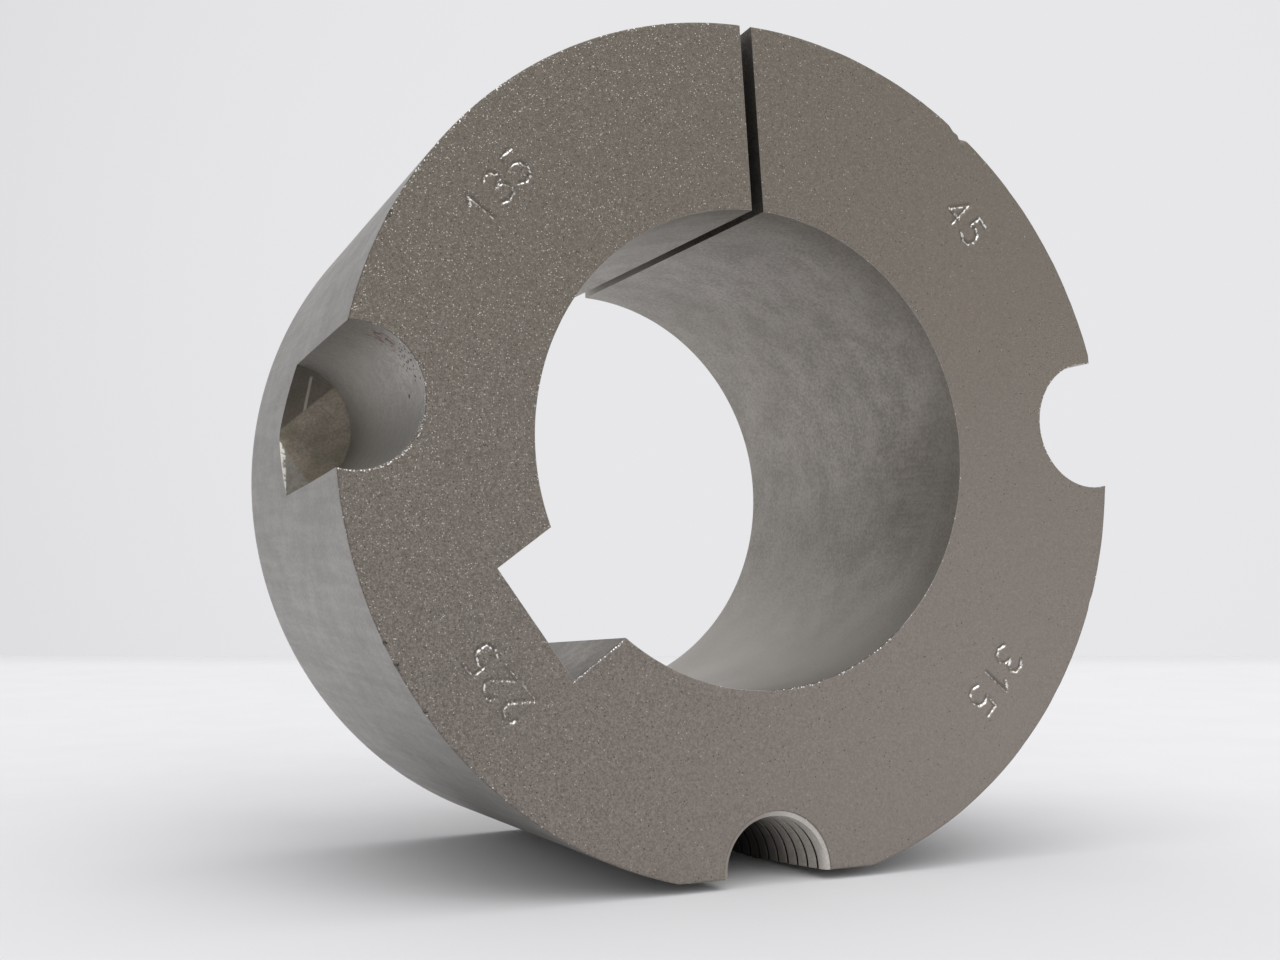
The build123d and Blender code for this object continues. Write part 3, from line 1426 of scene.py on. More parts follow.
class EffectGroups:
    """The shared effects, each a node group built once: grain, sparkle, smudge and worn edge."""

    def __init__(self) -> None:
        """Build the four groups."""
        self.grain = self.build_grain()
        self.sparkle = self.build_sparkle()
        self.smudge = self.build_smudge()
        self.worn = self.build_worn()

    @staticmethod
    def fresh(name: str, inputs: dict[str, float],
              outputs: tuple[str, ...]) -> tuple[NodeBench, bpy.types.Node, bpy.types.Node]:
        """A new group with a Where vector, float inputs and float outputs.

        Args:
            name: name of the group.
            inputs: float inputs and their first values.
            outputs: float outputs.

        Returns:
            The group's bench, its input node and its output node.
        """
        tree = bpy.data.node_groups.new(name, "ShaderNodeTree")
        tree.interface.new_socket("Where", in_out="INPUT", socket_type="NodeSocketVector")
        bench = NodeBench(tree)
        for label, value in inputs.items():
            socket = tree.interface.new_socket(label, in_out="INPUT", socket_type="NodeSocketFloat")
            socket.default_value = value
        for label in outputs:
            tree.interface.new_socket(label, in_out="OUTPUT", socket_type="NodeSocketFloat")
        return bench, bench.add("NodeGroupInput"), bench.add("NodeGroupOutput")

    @staticmethod
    def scaled_noise(bench: NodeBench, give: bpy.types.Node, size: str, detail: float) -> Socket:
        """Noise whose scale is an input of the group.

        Args:
            bench: the group's bench.
            give: the group's input node.
            size: name of the input that is the scale.
            detail: how many finer octaves.

        Returns:
            The noise's value.
        """
        node = bench.add("ShaderNodeTexNoise", Detail=detail, Roughness=0.55)
        bench.link(give.outputs["Where"], node.inputs["Vector"])
        bench.link(give.outputs[size], node.inputs["Scale"])
        return node.outputs[0]

    def build_grain(self) -> bpy.types.NodeTree:
        """Grain: fine powder grain plus soft mottling, as a tone and a height, both 0 to 1.

        Returns:
            The node group.
        """
        bench, give, take = self.fresh("sintered_grain", {"Fine": 4200.0, "Mottle": 700.0},
                                       ("Tone", "Height"))
        fine = self.scaled_noise(bench, give, "Fine", 3.0)
        mottle = self.scaled_noise(bench, give, "Mottle", 4.0)
        tone = bench.math("ADD", bench.times(fine, 0.6), bench.times(mottle, 0.4))
        bench.link(tone, take.inputs["Tone"])
        bench.link(bench.ramp(fine, 0.3, 0.7), take.inputs["Height"])
        return bench.tree

    def build_sparkle(self) -> bpy.types.NodeTree:
        """Sparkle: a few cells of a fine cell pattern, picked by their own random number.

        Returns:
            The node group.
        """
        bench, give, take = self.fresh("bright_flakes", {"Cells": 6500.0, "Share": 0.03}, ("Mask",))
        cells = bench.add("ShaderNodeTexVoronoi", feature="F1")
        bench.link(give.outputs["Where"], cells.inputs["Vector"])
        bench.link(give.outputs["Cells"], cells.inputs["Scale"])
        parts = bench.add("ShaderNodeSeparateColor")
        bench.link(cells.outputs["Color"], parts.inputs[0])
        floor = bench.math("SUBTRACT", 1.0, give.outputs["Share"])
        picked = bench.math("GREATER_THAN", parts.outputs[0], floor)
        body = bench.ramp(cells.outputs["Distance"], 0.25, 0.5, 1.0, 0.0)
        bench.link(bench.times(picked, body), take.inputs["Mask"])
        return bench.tree

    def build_smudge(self) -> bpy.types.NodeTree:
        """Smudge: broad, soft, cloudy marks from 0 to 1.

        Returns:
            The node group.
        """
        bench, give, take = self.fresh("handling_smudge", {"Broad": 60.0}, ("Mask",))
        cloud = self.scaled_noise(bench, give, "Broad", 5.0)
        bench.link(bench.ramp(cloud, 0.38, 0.66), take.inputs["Mask"])
        return bench.tree

    def build_worn(self) -> bpy.types.NodeTree:
        """Worn edge: small cells that shine, as large a share of them as the mesh's mark says.

        Returns:
            The node group.
        """
        bench, give, take = self.fresh("worn_edge", {"Cells": 5000.0}, ("Mask",))
        dots = bench.group(self.sparkle, give.outputs["Where"])
        bench.link(give.outputs["Cells"], dots.inputs["Cells"])
        bench.link(bench.mark("worn"), dots.inputs["Share"])
        bench.link(dots.outputs["Mask"], take.inputs["Mask"])
        return bench.tree


@dataclass(frozen=True)
class SteelFinish:
    """One finish of the steel, from its colours, its gloss and the strength of each effect."""

    name: str
    light: Colour
    dark: Colour
    roughness: float
    metallic: float = 1.0
    fine: float = 4200.0
    mottle: float = 700.0
    tone_low: float = 0.3
    tone_high: float = 0.7
    bump: float = 0.25
    bump_height: float = 0.00004
    smudge: float = 0.0
    smudge_size: float = 60.0
    smudge_tint: Colour = (0.2, 0.19, 0.18)
    worn: float = 0.0
    brushed: float = 0.0
    stretch: Triple = (1.0, 1.0, 1.0)
    specular: float = 0.5
    edge_dull: float = 0.0
    nick_shading: float = 0.0
    # far_way, far_colour and far_span: a colour that takes over along a way; the finishes use it for painted
    # light and painted shade
    far_way: Triple = (0.0, 1.0, 0.0)
    far_colour: Colour | None = None
    far_span: Pair = (0.0, 1.0)
    dull_tint: Colour = (0.07, 0.065, 0.06)
    nick_shade_tint: Colour = (0.03, 0.026, 0.022)
    worn_tint: Colour = (0.8, 0.79, 0.76)
    grain_rough: float = 0.05
    smudge_rough: float = 0.12
    worn_gloss: float = 0.2

    def tone(self, bench: NodeBench, where: Socket, grain: bpy.types.Node) -> Socket:
        """The grain's tone from 0 to 1, with drawn-out brush lines added where there are any.

        Args:
            bench: the material's bench.
            where: object coordinates.
            grain: the grain effect.

        Returns:
            The tone.
        """
        tone = bench.ramp(grain.outputs["Tone"], self.tone_low, self.tone_high)
        if self.brushed:
            lines = bench.ramp(bench.lines(where, self.stretch), 0.3, 0.7)
            tone = bench.math("ADD", bench.times(tone, 1 - self.brushed),
                              bench.times(lines, self.brushed))
        return tone

    def special(self, bench: NodeBench, effects: EffectGroups, where: Socket,
                colour: Socket, rough: Socket) -> tuple[Socket, Socket]:
        """Marks that only this finish has; the plain finish adds none."""
        return colour, rough

    def material(self, effects: EffectGroups) -> bpy.types.Material:
        """Build the material.

        Base colour runs from dark to light with the grain's tone, then takes smudges, the
        finish's own marks and the worn edges. Roughness follows the same masks, and the grain
        drives the bump.

        Args:
            effects: the shared effects.

        Returns:
            The material.
        """
        material = bpy.data.materials.new(self.name)
        material.use_nodes = True
        bench = NodeBench(material.node_tree)
        where = bench.add("ShaderNodeTexCoord").outputs["Object"]
        shader = bench.add("ShaderNodeBsdfPrincipled")
        out = bench.add("ShaderNodeOutputMaterial")
        bench.link(shader.outputs[0], out.inputs[0])
        shader.inputs["Metallic"].default_value = self.metallic
        shader.inputs["Specular IOR Level"].default_value = self.specular

        grain = bench.group(effects.grain, where, Fine=self.fine, Mottle=self.mottle)
        tone = self.tone(bench, where, grain)
        colour = bench.mix(tone, (*self.dark, 1.0), (*self.light, 1.0))
        # painted light and shade along far_way
        if self.far_colour:
            share = bench.ramp(bench.along(where, self.far_way), *self.far_span)
            colour = bench.tint(share, colour, self.far_colour)
        rough = bench.ramp(tone, 0.0, 1.0, self.roughness + self.grain_rough,
                           self.roughness - self.grain_rough)
        if self.smudge:
            smudge = bench.group(effects.smudge, where, Broad=self.smudge_size)
            mask = bench.times(smudge.outputs["Mask"], self.smudge)
            colour = bench.tint(mask, colour, self.smudge_tint)
            rough = bench.math("ADD", rough, bench.times(mask, self.smudge_rough))
        colour, rough = self.special(bench, effects, where, colour, rough)
        if self.edge_dull:
            dull = bench.times(bench.ramp(bench.mark("worn"), 0.02, 0.3), self.edge_dull)
            colour = bench.tint(dull, colour, self.dull_tint)
        # painted shade in the deeper nicks of the rim
        if self.nick_shading:
            ragged = bench.ramp(bench.noise(where, 4200.0, 3.0), 0.42, 0.56, 0.1, 1.0)
            chip = bench.times(bench.ramp(bench.mark("chip"), 0.2, 0.7), self.nick_shading)
            colour = bench.tint(bench.times(chip, ragged), colour, self.nick_shade_tint)
        if self.worn:
            worn = bench.group(effects.worn, where)
            mask = bench.times(worn.outputs["Mask"], self.worn)
            colour = bench.tint(mask, colour, self.worn_tint)
            rough = bench.math("SUBTRACT", rough, bench.times(mask, self.worn_gloss))
        bench.link(colour, shader.inputs["Base Color"])
        bench.link(rough, shader.inputs["Roughness"])
        bump = bench.add("ShaderNodeBump", Strength=self.bump, Distance=self.bump_height)
        bench.link(grain.outputs["Height"], bump.inputs["Height"])
        bench.link(bump.outputs[0], shader.inputs["Normal"])
        return material

    @staticmethod
    def near(bench: NodeBench, where: Socket, middle: Triple,
             reach: Pair) -> Socket:
        """1 within the first reach of a place, falling to 0 at the second.

        Args:
            bench: the material's bench.
            where: object coordinates.
            middle: the place.
            reach: the two distances.

        Returns:
            The mask.
        """
        away = bench.add("ShaderNodeVectorMath", operation="DISTANCE")
        bench.link(where, away.inputs[0])
        away.inputs[1].default_value = middle
        return bench.ramp(away.outputs["Value"], *reach, 1.0, 0.0)

    @staticmethod
    def picked(bench: NodeBench, effects: EffectGroups, where: Socket, cells: float,
               share: Socket | float) -> Socket:
        """Mask of cells picked from the fine cell pattern, as many as the share says.

        Args:
            bench: the material's bench.
            effects: the shared effects.
            where: object coordinates.
            cells: cells to the unit.
            share: share of the cells.

        Returns:
            The mask.
        """
        group = bench.group(effects.sparkle, where, Cells=cells)
        if isinstance(share, float):
            group.inputs["Share"].default_value = share
        else:
            bench.link(share, group.inputs["Share"])
        return group.outputs["Mask"]


@dataclass(frozen=True)
class SinteredFinish(SteelFinish):
    """The end faces as sintered: powder grain, bright flakes, dark pores and punched figures, with painted
    light and shade across the face.
    """

    bright_share: float = 0.08
    soft_share: float = 0.45
    pore_share: float = 0.06
    rough_way: Triple = (-0.85, 0.0, 0.35)
    rough_span: Pair = (0.045, -0.02)
    calm: float = 0.25
    gather: float = 5.0
    # painted light and shade: the tone's middle, darker on the rough side and lighter on the calm side
    lift: Pair = (-0.24, 0.27)
    # painted shade: the face darker and warmer towards the top
    top_tint: Colour = (0.16, 0.141, 0.113)
    top_span: Pair = (0.005, 0.085)
    top_share: float = 0.65
    swing: Pair = (1.05, 0.38)
    calm_pores: float = 0.2
    calm_soft: float = 0.1
    pore_cells: float = 5200.0
    pore_tint: Colour = (0.06, 0.052, 0.045)
    soft_cells: float = 8200.0
    soft_tint: Colour = (0.45, 0.425, 0.38)
    bright_cells: float = 7100.0
    bright_tint: Colour = (0.7, 0.68, 0.63)
    unlit_tint: Colour = (0.08, 0.07, 0.06)
    glint_tint: Colour = (0.85, 0.84, 0.81)

    def tone(self, bench: NodeBench, where: Socket, grain: bpy.types.Node) -> Socket:
        """The grain's tone, calmer towards the smooth side of the face, with painted light and shade: darker
        on the rough side and lighter on the calm one.

        Args:
            bench: the material's bench.
            where: object coordinates.
            grain: the grain effect.

        Returns:
            The tone.
        """
        tone = bench.ramp(grain.outputs["Tone"], self.tone_low, self.tone_high)
        centred = bench.math("SUBTRACT", tone, 0.5)
        swing = self.along_side(bench, where, *self.swing)
        # painted light and shade across the face: its middle tone lifts from the rough side to the calm side
        rough_lift, calm_lift = self.lift
        middle = self.along_side(bench, where, 0.5 + rough_lift, 0.5 + calm_lift)
        return bench.math("ADD", bench.times(centred, swing), middle)

    def along_side(self, bench: NodeBench, where: Socket, rough: float, calm: float) -> Socket:
        """A value that falls from the rough side of the face to the calm one, across the face.

        Args:
            bench: the material's bench.
            where: object coordinates.
            rough: value on the rough side.
            calm: value on the calm side.

        Returns:
            The value.
        """
        far, near = self.rough_span
        return bench.ramp(bench.along(where, self.rough_way), near, far, calm, rough)

    def special(self, bench: NodeBench, effects: EffectGroups, where: Socket,
                colour: Socket, rough: Socket) -> tuple[Socket, Socket]:
        """Add the painted shade at the top, the pores, both kinds of flake, which are partly painted glints,
        and the painted highlight and shade on the figures.

        Args:
            bench: the material's bench.
            effects: the shared effects.
            where: object coordinates.
            colour: the colour so far.
            rough: the roughness so far.

        Returns:
            The colour and the roughness with the marks.
        """
        place = bench.add("ShaderNodeSeparateXYZ")
        bench.link(where, place.inputs[0])
        # painted shade: the face darker and warmer towards the top
        high = bench.ramp(place.outputs["Z"], *self.top_span, 0.0, self.top_share)
        colour = bench.tint(high, colour, self.top_tint)
        pores = self.picked(bench, effects, where, self.pore_cells,
                            self.along_side(bench, where, self.pore_share, self.pore_share * self.calm_pores))
        colour = bench.tint(bench.times(pores, 0.75), colour, self.pore_tint)
        # partly painted glints: the flakes are the grain's bright particles, gathered on the rough side,
        # where the light comes from
        flaky = bench.math("POWER", self.along_side(bench, where, 1.0, self.calm), self.gather)
        soft = self.picked(bench, effects, where, self.soft_cells,
                           self.along_side(bench, where, self.soft_share, self.soft_share * self.calm_soft))
        colour = bench.tint(bench.times(soft, 0.4), colour, self.soft_tint)
        flakes = self.picked(bench, effects, where, self.bright_cells,
                             bench.times(flaky, self.bright_share))
        colour = bench.tint(bench.times(flakes, 0.6), colour, self.bright_tint)
        rough = bench.math("SUBTRACT", rough, bench.times(flakes, 0.2))
        # painted shade darkens each figure's unlit wall, and a painted highlight lightens its lit wall
        mark = bench.mark("glint_and_shade")
        unlit = bench.math("MULTIPLY", mark, -0.8, clamp=True)
        colour = bench.tint(unlit, colour, self.unlit_tint)
        patch = bench.ramp(bench.noise(where, 3000.0, 2.0), 0.4, 0.6, 0.3, 1.0)
        glint = bench.ramp(bench.times(mark, patch), 0.1, 0.45)
        colour = bench.tint(glint, colour, self.glint_tint)
        rough = bench.math("SUBTRACT", rough, bench.times(glint, 0.25))
        return colour, rough


@dataclass(frozen=True)
class ThreadFinish(SteelFinish):
    """The cut thread, with painted shade down in its grooves."""

    # painted shade in the grooves
    groove: Colour = (0.015, 0.014, 0.013)

    def special(self, bench: NodeBench, effects: EffectGroups, where: Socket,
                colour: Socket, rough: Socket) -> tuple[Socket, Socket]:
        """Paint shade into the grooves by the mesh's own mark."""
        return bench.tint(bench.ramp(bench.mark("groove"), 0.0, 0.25), colour, self.groove), rough


@dataclass(frozen=True)
class BoredFinish(SteelFinish):
    """The bored wall, with one darker patch of fine lines along the bore."""

    patch: Triple = (0.0239, -0.0135, 0.0385)
    reach: Pair = (0.002, 0.0115)
    patch_stretch: Triple = (3200.0, 200.0, 3200.0)
    patch_tint: Colour = (0.17, 0.15, 0.127)

    def special(self, bench: NodeBench, effects: EffectGroups, where: Socket,
                colour: Socket, rough: Socket) -> tuple[Socket, Socket]:
        """Add the patch, drawn out along the bore.

        Args:
            bench: the material's bench.
            effects: the shared effects; not used.
            where: object coordinates.
            colour: the colour so far.
            rough: the roughness so far.

        Returns:
            The colour and the roughness with the marks.
        """
        lines = bench.ramp(bench.lines(where, self.patch_stretch), 0.3, 0.7, 0.3, 0.55)
        share = bench.times(self.near(bench, where, self.patch, self.reach), lines)
        return bench.tint(share, colour, self.patch_tint), rough


@dataclass(frozen=True)
class DrilledFinish(SteelFinish):
    """A drilled wall with a cluster of rust spots near its rim, and one of black pits beside it."""

    rusted: Triple = (-0.0375, -0.0186, 0.0521)
    pitted: Triple = (-0.0353, -0.0199, 0.0500)
    lone_pit: Triple = (-0.0343, -0.01705, 0.0469)
    reach: Pair = (0.001, 0.0024)
    lone_reach: Pair = (0.00012, 0.00029)
    rust_tint: Colour = (0.2, 0.1, 0.07)
    pit_cells: float = 3300.0
    pit_tint: Colour = (0.012, 0.011, 0.01)

    def special(self, bench: NodeBench, effects: EffectGroups, where: Socket,
                colour: Socket, rough: Socket) -> tuple[Socket, Socket]:
        """Add the rust and the pits, each thinning out with distance from its cluster's middle.

        Args:
            bench: the material's bench.
            effects: the shared effects.
            where: object coordinates.
            colour: the colour so far.
            rough: the roughness so far.

        Returns:
            The colour and the roughness with the marks.
        """
        stain = bench.ramp(bench.noise(where, 1700.0, 3.0), 0.5, 0.6)
        stain = bench.times(stain, self.near(bench, where, self.rusted, self.reach))
        colour = bench.tint(bench.times(stain, 0.75), colour, self.rust_tint)
        share = bench.times(self.near(bench, where, self.pitted, self.reach), 0.6)
        pits = self.picked(bench, effects, where, self.pit_cells, share)
        pits = bench.math("MAXIMUM", pits, self.near(bench, where, self.lone_pit, self.lone_reach))
        colour = bench.tint(bench.times(pits, 0.9), colour, self.pit_tint)
        return colour, rough


@dataclass(frozen=True)
class DrillPointFinish(SteelFinish):
    """The drill point's floor: a sector of painted shadow, a brown one and a painted lit one, with a painted
    highlight streak.
    """

    dark_turn: float = -46.0
    light_turn: float = 60.0
    shadow: Colour = (0.12, 0.105, 0.09)
    # bright: colour of the painted lit sector
    bright: Colour = (0.32, 0.31, 0.285)
    stain_tint: Colour = (0.2, 0.19, 0.125)
    streak_place: float = 2.3
    streak_end: Pair = (-5.9, -5.6)
    streak_tint: Colour = (0.34, 0.31, 0.27)
    lit_brink_tint: Colour = (0.9, 0.88, 0.82)

    def sector(self, bench: NodeBench, inward: Socket, sideways: Socket, turn: float) -> Socket:
        """Distance past the line through the drill point at this turn, in millimetres."""
        a = math.radians(turn)
        return bench.math("SUBTRACT", bench.times(sideways, math.cos(a)),
                          bench.times(inward, math.sin(a)))

    def special(self, bench: NodeBench, effects: EffectGroups, where: Socket,
                colour: Socket, rough: Socket) -> tuple[Socket, Socket]:
        """Add the painted shadow and lit sectors, the painted highlight streak in the shadowed one, and
        painted light on the jagged brink in the lit one.

        Args:
            bench: the material's bench.
            effects: the shared effects; not used.
            where: object coordinates.
            colour: the colour so far.
            rough: the roughness so far.

        Returns:
            The colour and the roughness with the marks.
        """
        inward, sideways = bench.mark("inward"), bench.mark("sideways")
        stain = bench.ramp(bench.noise(where, 330.0, 2.0), 0.42, 0.62, 0.0, 0.45)
        colour = bench.tint(stain, colour, self.stain_tint)
        # painted shadow: the upper sector of the floor, shaded by the seat's upper wall
        dark = bench.ramp(self.sector(bench, inward, sideways, self.dark_turn), -0.2, 0.1, 1.0, 0.0)
        colour = bench.tint(bench.times(dark, 0.8), colour, self.shadow)
        # painted highlight: a light streak across the painted shadow
        offset = bench.math("ABSOLUTE", bench.math("SUBTRACT", inward, self.streak_place))
        streak = bench.times(bench.ramp(offset, 0.08, 0.18, 1.0, 0.0), dark)
        streak = bench.times(streak, bench.ramp(sideways, *self.streak_end))
        colour = bench.tint(streak, colour, self.streak_tint)
        # painted light: the lower sector, lit from the seat's open side
        light = bench.ramp(self.sector(bench, inward, sideways, self.light_turn), -0.15, 0.25)
        speckle = bench.ramp(bench.noise(where, 2400.0, 3.0), 0.35, 0.65, 0.35, 1.0)
        colour = bench.tint(bench.times(light, speckle), colour, self.bright)
        # painted light: a jagged, speckled bright strip along the brink, only in the lit sector
        lit_brink = bench.ramp(bench.noise(where, 2200.0, 2.0), 0.35, 0.6, 0.5, 1.0)
        lit_brink = bench.times(bench.mark("brink"), lit_brink)
        lit_brink = bench.ramp(bench.times(lit_brink, light), 0.25, 0.55)
        colour = bench.tint(lit_brink, colour, self.lit_brink_tint)
        return colour, rough


FINISHES = {
    Skin.FACE: SinteredFinish("sintered_face", (0.312, 0.276, 0.247), (0.182, 0.161, 0.143), 0.6,
                              fine=5200.0, mottle=3000.0, worn=0.9, bump=0.35, nick_shading=0.75),
    Skin.TAPER: SteelFinish("turned_taper", (0.36, 0.345, 0.328), (0.27, 0.257, 0.243), 0.45,
                            fine=3000.0, mottle=350.0, bump=0.12, smudge=0.15, worn=0.5,
                            smudge_tint=(0.24, 0.229, 0.216), nick_shading=0.75, brushed=0.35,
                            stretch=(900.0, 40.0, 900.0)),
    # painted light: the bore's wall lighter towards its lower side, facing the bright table
    Skin.BORE: BoredFinish("bored_wall", (0.39, 0.363, 0.33), (0.29, 0.27, 0.245), 0.5,
                           fine=3000.0, mottle=300.0, bump=0.12, smudge=0.2, smudge_size=75.0,
                           smudge_tint=(0.24, 0.222, 0.2), worn=0.95, edge_dull=0.8,
                           far_way=(0.0, 0.0, -1.0), far_colour=(0.425, 0.398, 0.367),
                           far_span=(-0.034, -0.019)),
    # painted shade: the seats' walls darker towards their lower ends
    Skin.DRILLED: DrilledFinish("drilled_wall", (0.48, 0.457, 0.432), (0.343, 0.323, 0.303), 0.5,
                                fine=3200.0, bump=0.15, smudge=0.2, worn=0.5,
                                smudge_tint=(0.23, 0.213, 0.19), far_way=(0.0, 0.0, -1.0),
                                far_colour=(0.265, 0.255, 0.232), far_span=(-0.0505, -0.0425)),
    Skin.DRILL_POINT: DrillPointFinish("drill_point_floor", (0.33, 0.288, 0.237),
                                       (0.24, 0.207, 0.17), 0.62, bump=0.3),
    # painted shade: the thread darker deeper in the hole
    Skin.THREAD: ThreadFinish("cut_thread", (0.66, 0.62, 0.57), (0.46, 0.43, 0.39), 0.5, metallic=0.3,
                             specular=0.0, bump=0.15, far_colour=(0.13, 0.12, 0.111),
                             far_span=(-0.02, -0.0105)),
    # painted shade: the lead-in cone darker on its left side
    Skin.LEAD_IN: SteelFinish("lead_in_cone", (0.61, 0.58, 0.54), (0.49, 0.464, 0.43), 0.5, metallic=0.3,
                              specular=0.0, bump=0.15, far_way=(-1.0, 0.0, 0.2),
                              far_colour=(0.34, 0.308, 0.28), far_span=(-0.001, 0.0045)),
    Skin.KEYWAY: SteelFinish("broached_keyway", (0.54, 0.514, 0.486), (0.38, 0.36, 0.338), 0.5,
                             bump=0.15, smudge=0.2, worn=0.95, edge_dull=0.6),
    # painted light: the slit's walls lighter further in, where light comes down through the slit
    Skin.SAWN: SteelFinish("sawn_wall", (0.22, 0.2, 0.18), (0.12, 0.11, 0.098), 0.6, bump=0.3,
                           far_colour=(0.5, 0.475, 0.44), far_span=(-0.009, 0.0115)),
}


# ---------------------------------------------------------------- studio


@dataclass(frozen=True)
class Lamp:
    """A square soft lamp: where it hangs, what it is aimed at, its side and its power."""

    name: str
    place: Triple
    aim: Triple
    size: float
    power: float


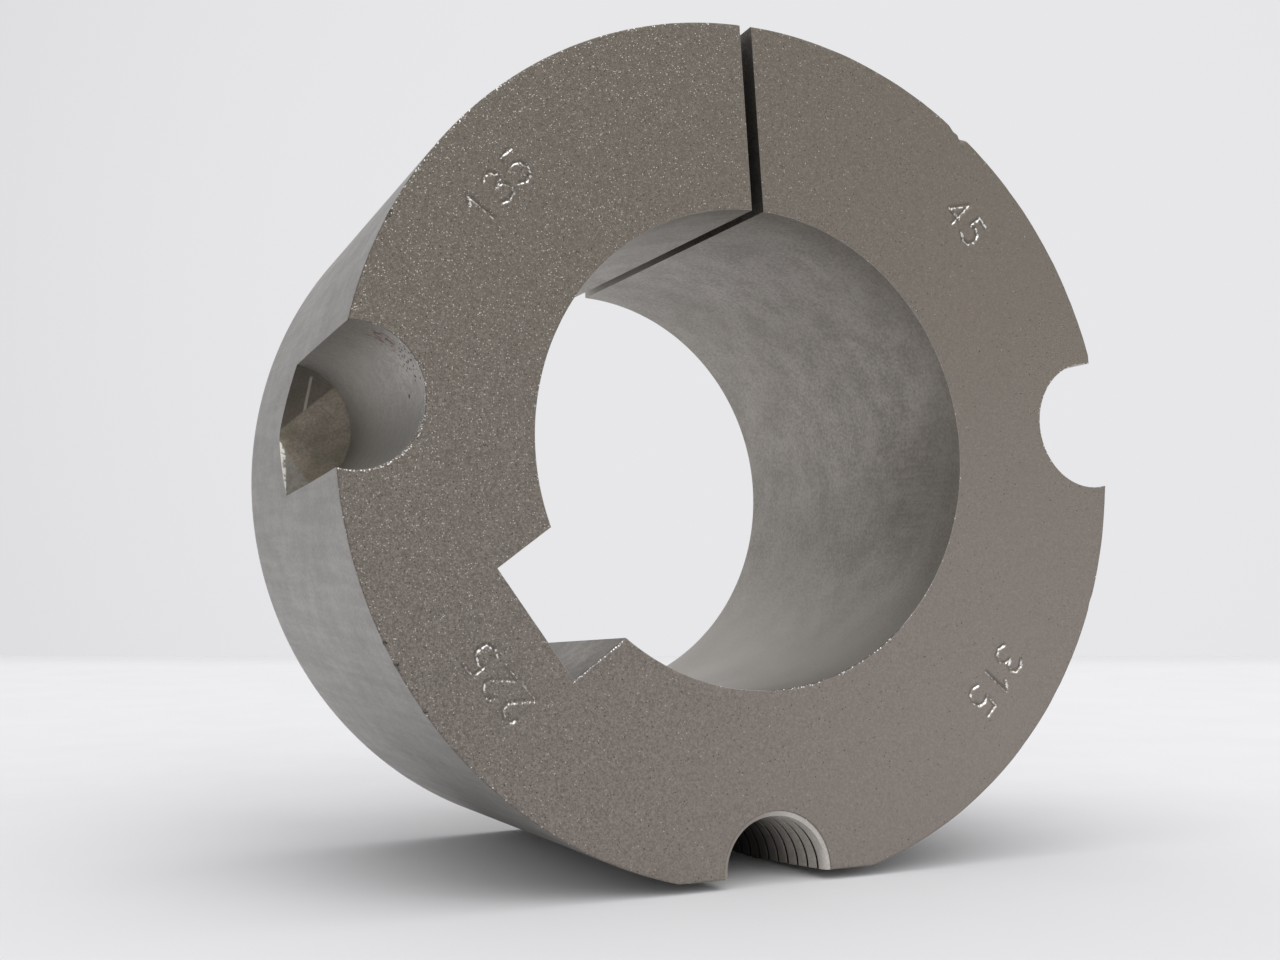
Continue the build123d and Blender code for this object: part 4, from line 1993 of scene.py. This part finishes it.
@dataclass
class Studio:
    """A plain pale table, a pale backdrop, soft overhead light and the camera."""

    floor_colour: Triple = (0.8, 0.8, 0.82)
    backdrop_colour: Triple = (0.80, 0.80, 0.815)
    backdrop_dim: Triple = (0.70, 0.70, 0.715)
    bright_way: Triple = (0.52, 0.84, 0.12)
    world_strength: Pair = (0.10, 1.0)
    world_way: Triple = (-0.6, -0.8, 0.0)
    dim_way: Triple = (-0.65, -0.7, 0.3)
    dim_share: float = 0.5
    table_edge_way: Pair = (0.566562, 0.824019)
    table_edge: float = 0.3337
    table_fade: float = 0.05
    near_dim: Pair = (-0.09, 0.06)
    mottle_share: float = 0.98
    dimmed_share: float = 0.9
    table_roughness: float = 0.75
    table_specular: float = 0.2
    bright_span: Pair = (0.82, 0.985)
    dim_span: Pair = (0.1, 0.8)
    table_size: float = 3.0
    camera_place: Triple = (-0.0876586, -0.1785888, 0.0329837)
    camera_axes: tuple[Triple, ...] = (
        (0.90271606, -0.00629629, -0.43019074),
        (-0.43012608, -0.03589218, -0.90205505),
        (-0.00976088, 0.99933584, -0.03510865),
    )
    lens: float = 51.1719
    sensor_width: float = 36.0
    lamps: tuple[Lamp, ...] = (
        Lamp("overhead", (0.08, 0.05, 2.3), (0.03, 0.0, 0.0), 3.0, 36.5),
        Lamp("front_fill", (0.4, -1.72, 1.2), (0.0, 0.0, 0.03), 1.6, 12.5),
    )

    def table(self) -> bpy.types.Object:
        """The table top: a flat strip grid at height 0 whose far edge ends behind the bush.

        Its corners are edge way * distance + side way * size, for distances out to the far edge.

        Returns:
            The table top.
        """
        way = np.array(self.table_edge_way)
        side = np.array([way[1], -way[0]])
        out, across = np.meshgrid([-self.table_size, self.table_edge],
                                  [-self.table_size, self.table_size])
        plan = out.reshape(-1, 1) * way + across.reshape(-1, 1) * side
        points = np.concatenate([plan, np.zeros((4, 1))], axis=1)
        mesh = bpy.data.meshes.new("table_top")
        mesh.from_pydata(points, [], [[0, 2, 3, 1]])
        top = bpy.data.objects.new("table_top", mesh)
        bpy.context.scene.collection.objects.link(top)
        mesh.materials.append(self.table_finish())
        return top

    def table_finish(self) -> bpy.types.Material:
        """Matt pale board with a faint paper mottle, and painted shade: a little dimmer in front and at its
        far edge.

        Returns:
            The material.
        """
        material = bpy.data.materials.new("pale_table")
        material.use_nodes = True
        bench = NodeBench(material.node_tree)
        where = bench.add("ShaderNodeTexCoord").outputs["Object"]
        shader = bench.add("ShaderNodeBsdfPrincipled", Roughness=self.table_roughness)
        shader.inputs["Specular IOR Level"].default_value = self.table_specular
        far = bench.along(where, (*self.table_edge_way, 0.0))
        # painted shade: the board dims towards its far edge
        fade = bench.ramp(far, self.table_edge - self.table_fade, self.table_edge)
        paper = bench.ramp(bench.noise(where, 60.0, 5.0), 0.3, 0.7)
        board = tuple(c * self.mottle_share for c in self.floor_colour)
        colour = bench.mix(paper, (*board, 1.0), (*self.floor_colour, 1.0))
        dimmed = tuple(c * self.dimmed_share for c in self.floor_colour)
        colour = bench.mix(fade, colour, (*dimmed, 1.0))
        # painted shade: the board dims towards the front
        close = bench.ramp(far, *self.near_dim, 1.0, 0.0)
        colour = bench.mix(close, colour, (*dimmed, 1.0))
        bench.link(colour, shader.inputs["Base Color"])
        out = bench.add("ShaderNodeOutputMaterial")
        bench.link(shader.outputs[0], out.inputs[0])
        return material

    def world(self) -> None:
        """Soft light, stronger from the left front, with the pale backdrop where it is seen.

        The backdrop is brightest in one direction and dims a little away from it. Where only a
        reflection shows the room in front of the bush, that room is dimmer still.
        """
        world = bpy.data.worlds.new("pale_room")
        bpy.context.scene.world = world
        world.use_nodes = True
        bench = NodeBench(world.node_tree)
        lit = bench.add("ShaderNodeBackground", Color=(1.0, 1.0, 1.0, 1.0))
        way = bench.add("ShaderNodeTexCoord").outputs["Generated"]
        side = bench.along(way, self.world_way)
        bench.link(bench.ramp(side, -1.0, 1.0, *self.world_strength), lit.inputs["Strength"])
        share = bench.ramp(bench.along(way, self.bright_way), *self.bright_span)
        tone = bench.mix(share, (*self.backdrop_dim, 1.0), (*self.backdrop_colour, 1.0))
        seen = bench.add("ShaderNodeBackground", Strength=1.0)
        bench.link(tone, seen.inputs["Color"])
        in_front = bench.along(way, self.dim_way)
        dimmed = bench.ramp(in_front, *self.dim_span, 0.0, 1.0 - self.dim_share)
        rays = bench.add("ShaderNodeLightPath")
        dimmed = bench.times(dimmed, rays.outputs["Is Glossy Ray"])
        bench.link(bench.math("SUBTRACT", 1.0, dimmed), seen.inputs["Strength"])
        shown = bench.math("MAXIMUM", rays.outputs["Is Camera Ray"], rays.outputs["Is Glossy Ray"])
        shown = bench.math("MAXIMUM", shown, rays.outputs["Is Transmission Ray"])
        blend = bench.add("ShaderNodeMixShader")
        out = bench.add("ShaderNodeOutputWorld")
        bench.link(shown, blend.inputs[0])
        bench.link(lit.outputs[0], blend.inputs[1])
        bench.link(seen.outputs[0], blend.inputs[2])
        bench.link(blend.outputs[0], out.inputs[0])

    @staticmethod
    def hang(lamp: Lamp) -> None:
        """Hang a lamp at its place and aim it.

        Args:
            lamp: the lamp.
        """
        data = bpy.data.lights.new(lamp.name, "AREA")
        data.shape, data.size, data.energy = "SQUARE", lamp.size, lamp.power
        light = bpy.data.objects.new(lamp.name, data)
        light.location = lamp.place
        direction = Vector(lamp.aim) - Vector(lamp.place)
        light.rotation_euler = direction.to_track_quat("-Z", "Y").to_euler()
        bpy.context.scene.collection.objects.link(light)

    def camera(self) -> None:
        """The camera, placed by its three axes: right, up and back."""
        data = bpy.data.cameras.new("view_camera")
        data.lens, data.sensor_width = self.lens, self.sensor_width
        data.clip_start, data.clip_end = 0.01, 50.0
        camera = bpy.data.objects.new("view_camera", data)
        turn = Matrix(self.camera_axes).to_4x4()
        camera.matrix_world = Matrix.Translation(Vector(self.camera_place)) @ turn
        bpy.context.scene.collection.objects.link(camera)
        bpy.context.scene.camera = camera

    def set_up(self) -> None:
        """Everything around the bush."""
        self.table()
        self.world()
        for lamp in self.lamps:
            self.hang(lamp)
        self.camera()
        bpy.context.scene.view_settings.view_transform = "Standard"


def main() -> None:
    """Build the studio and the bush, in order."""
    logging.basicConfig(level=logging.INFO, format="%(name)s: %(message)s")
    Studio().set_up()
    LOG.info("studio set up")
    shell = BushShell()
    piece = shell.build()
    effects = EffectGroups()
    for skin in Skin:
        piece.data.materials.append(FINISHES[skin].material(effects))
    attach(piece, "root")
    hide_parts("taper_bush")
    LOG.info("%s rides on root and replaces the plain solid", piece.name)


if __name__ == "__main__":
    main()
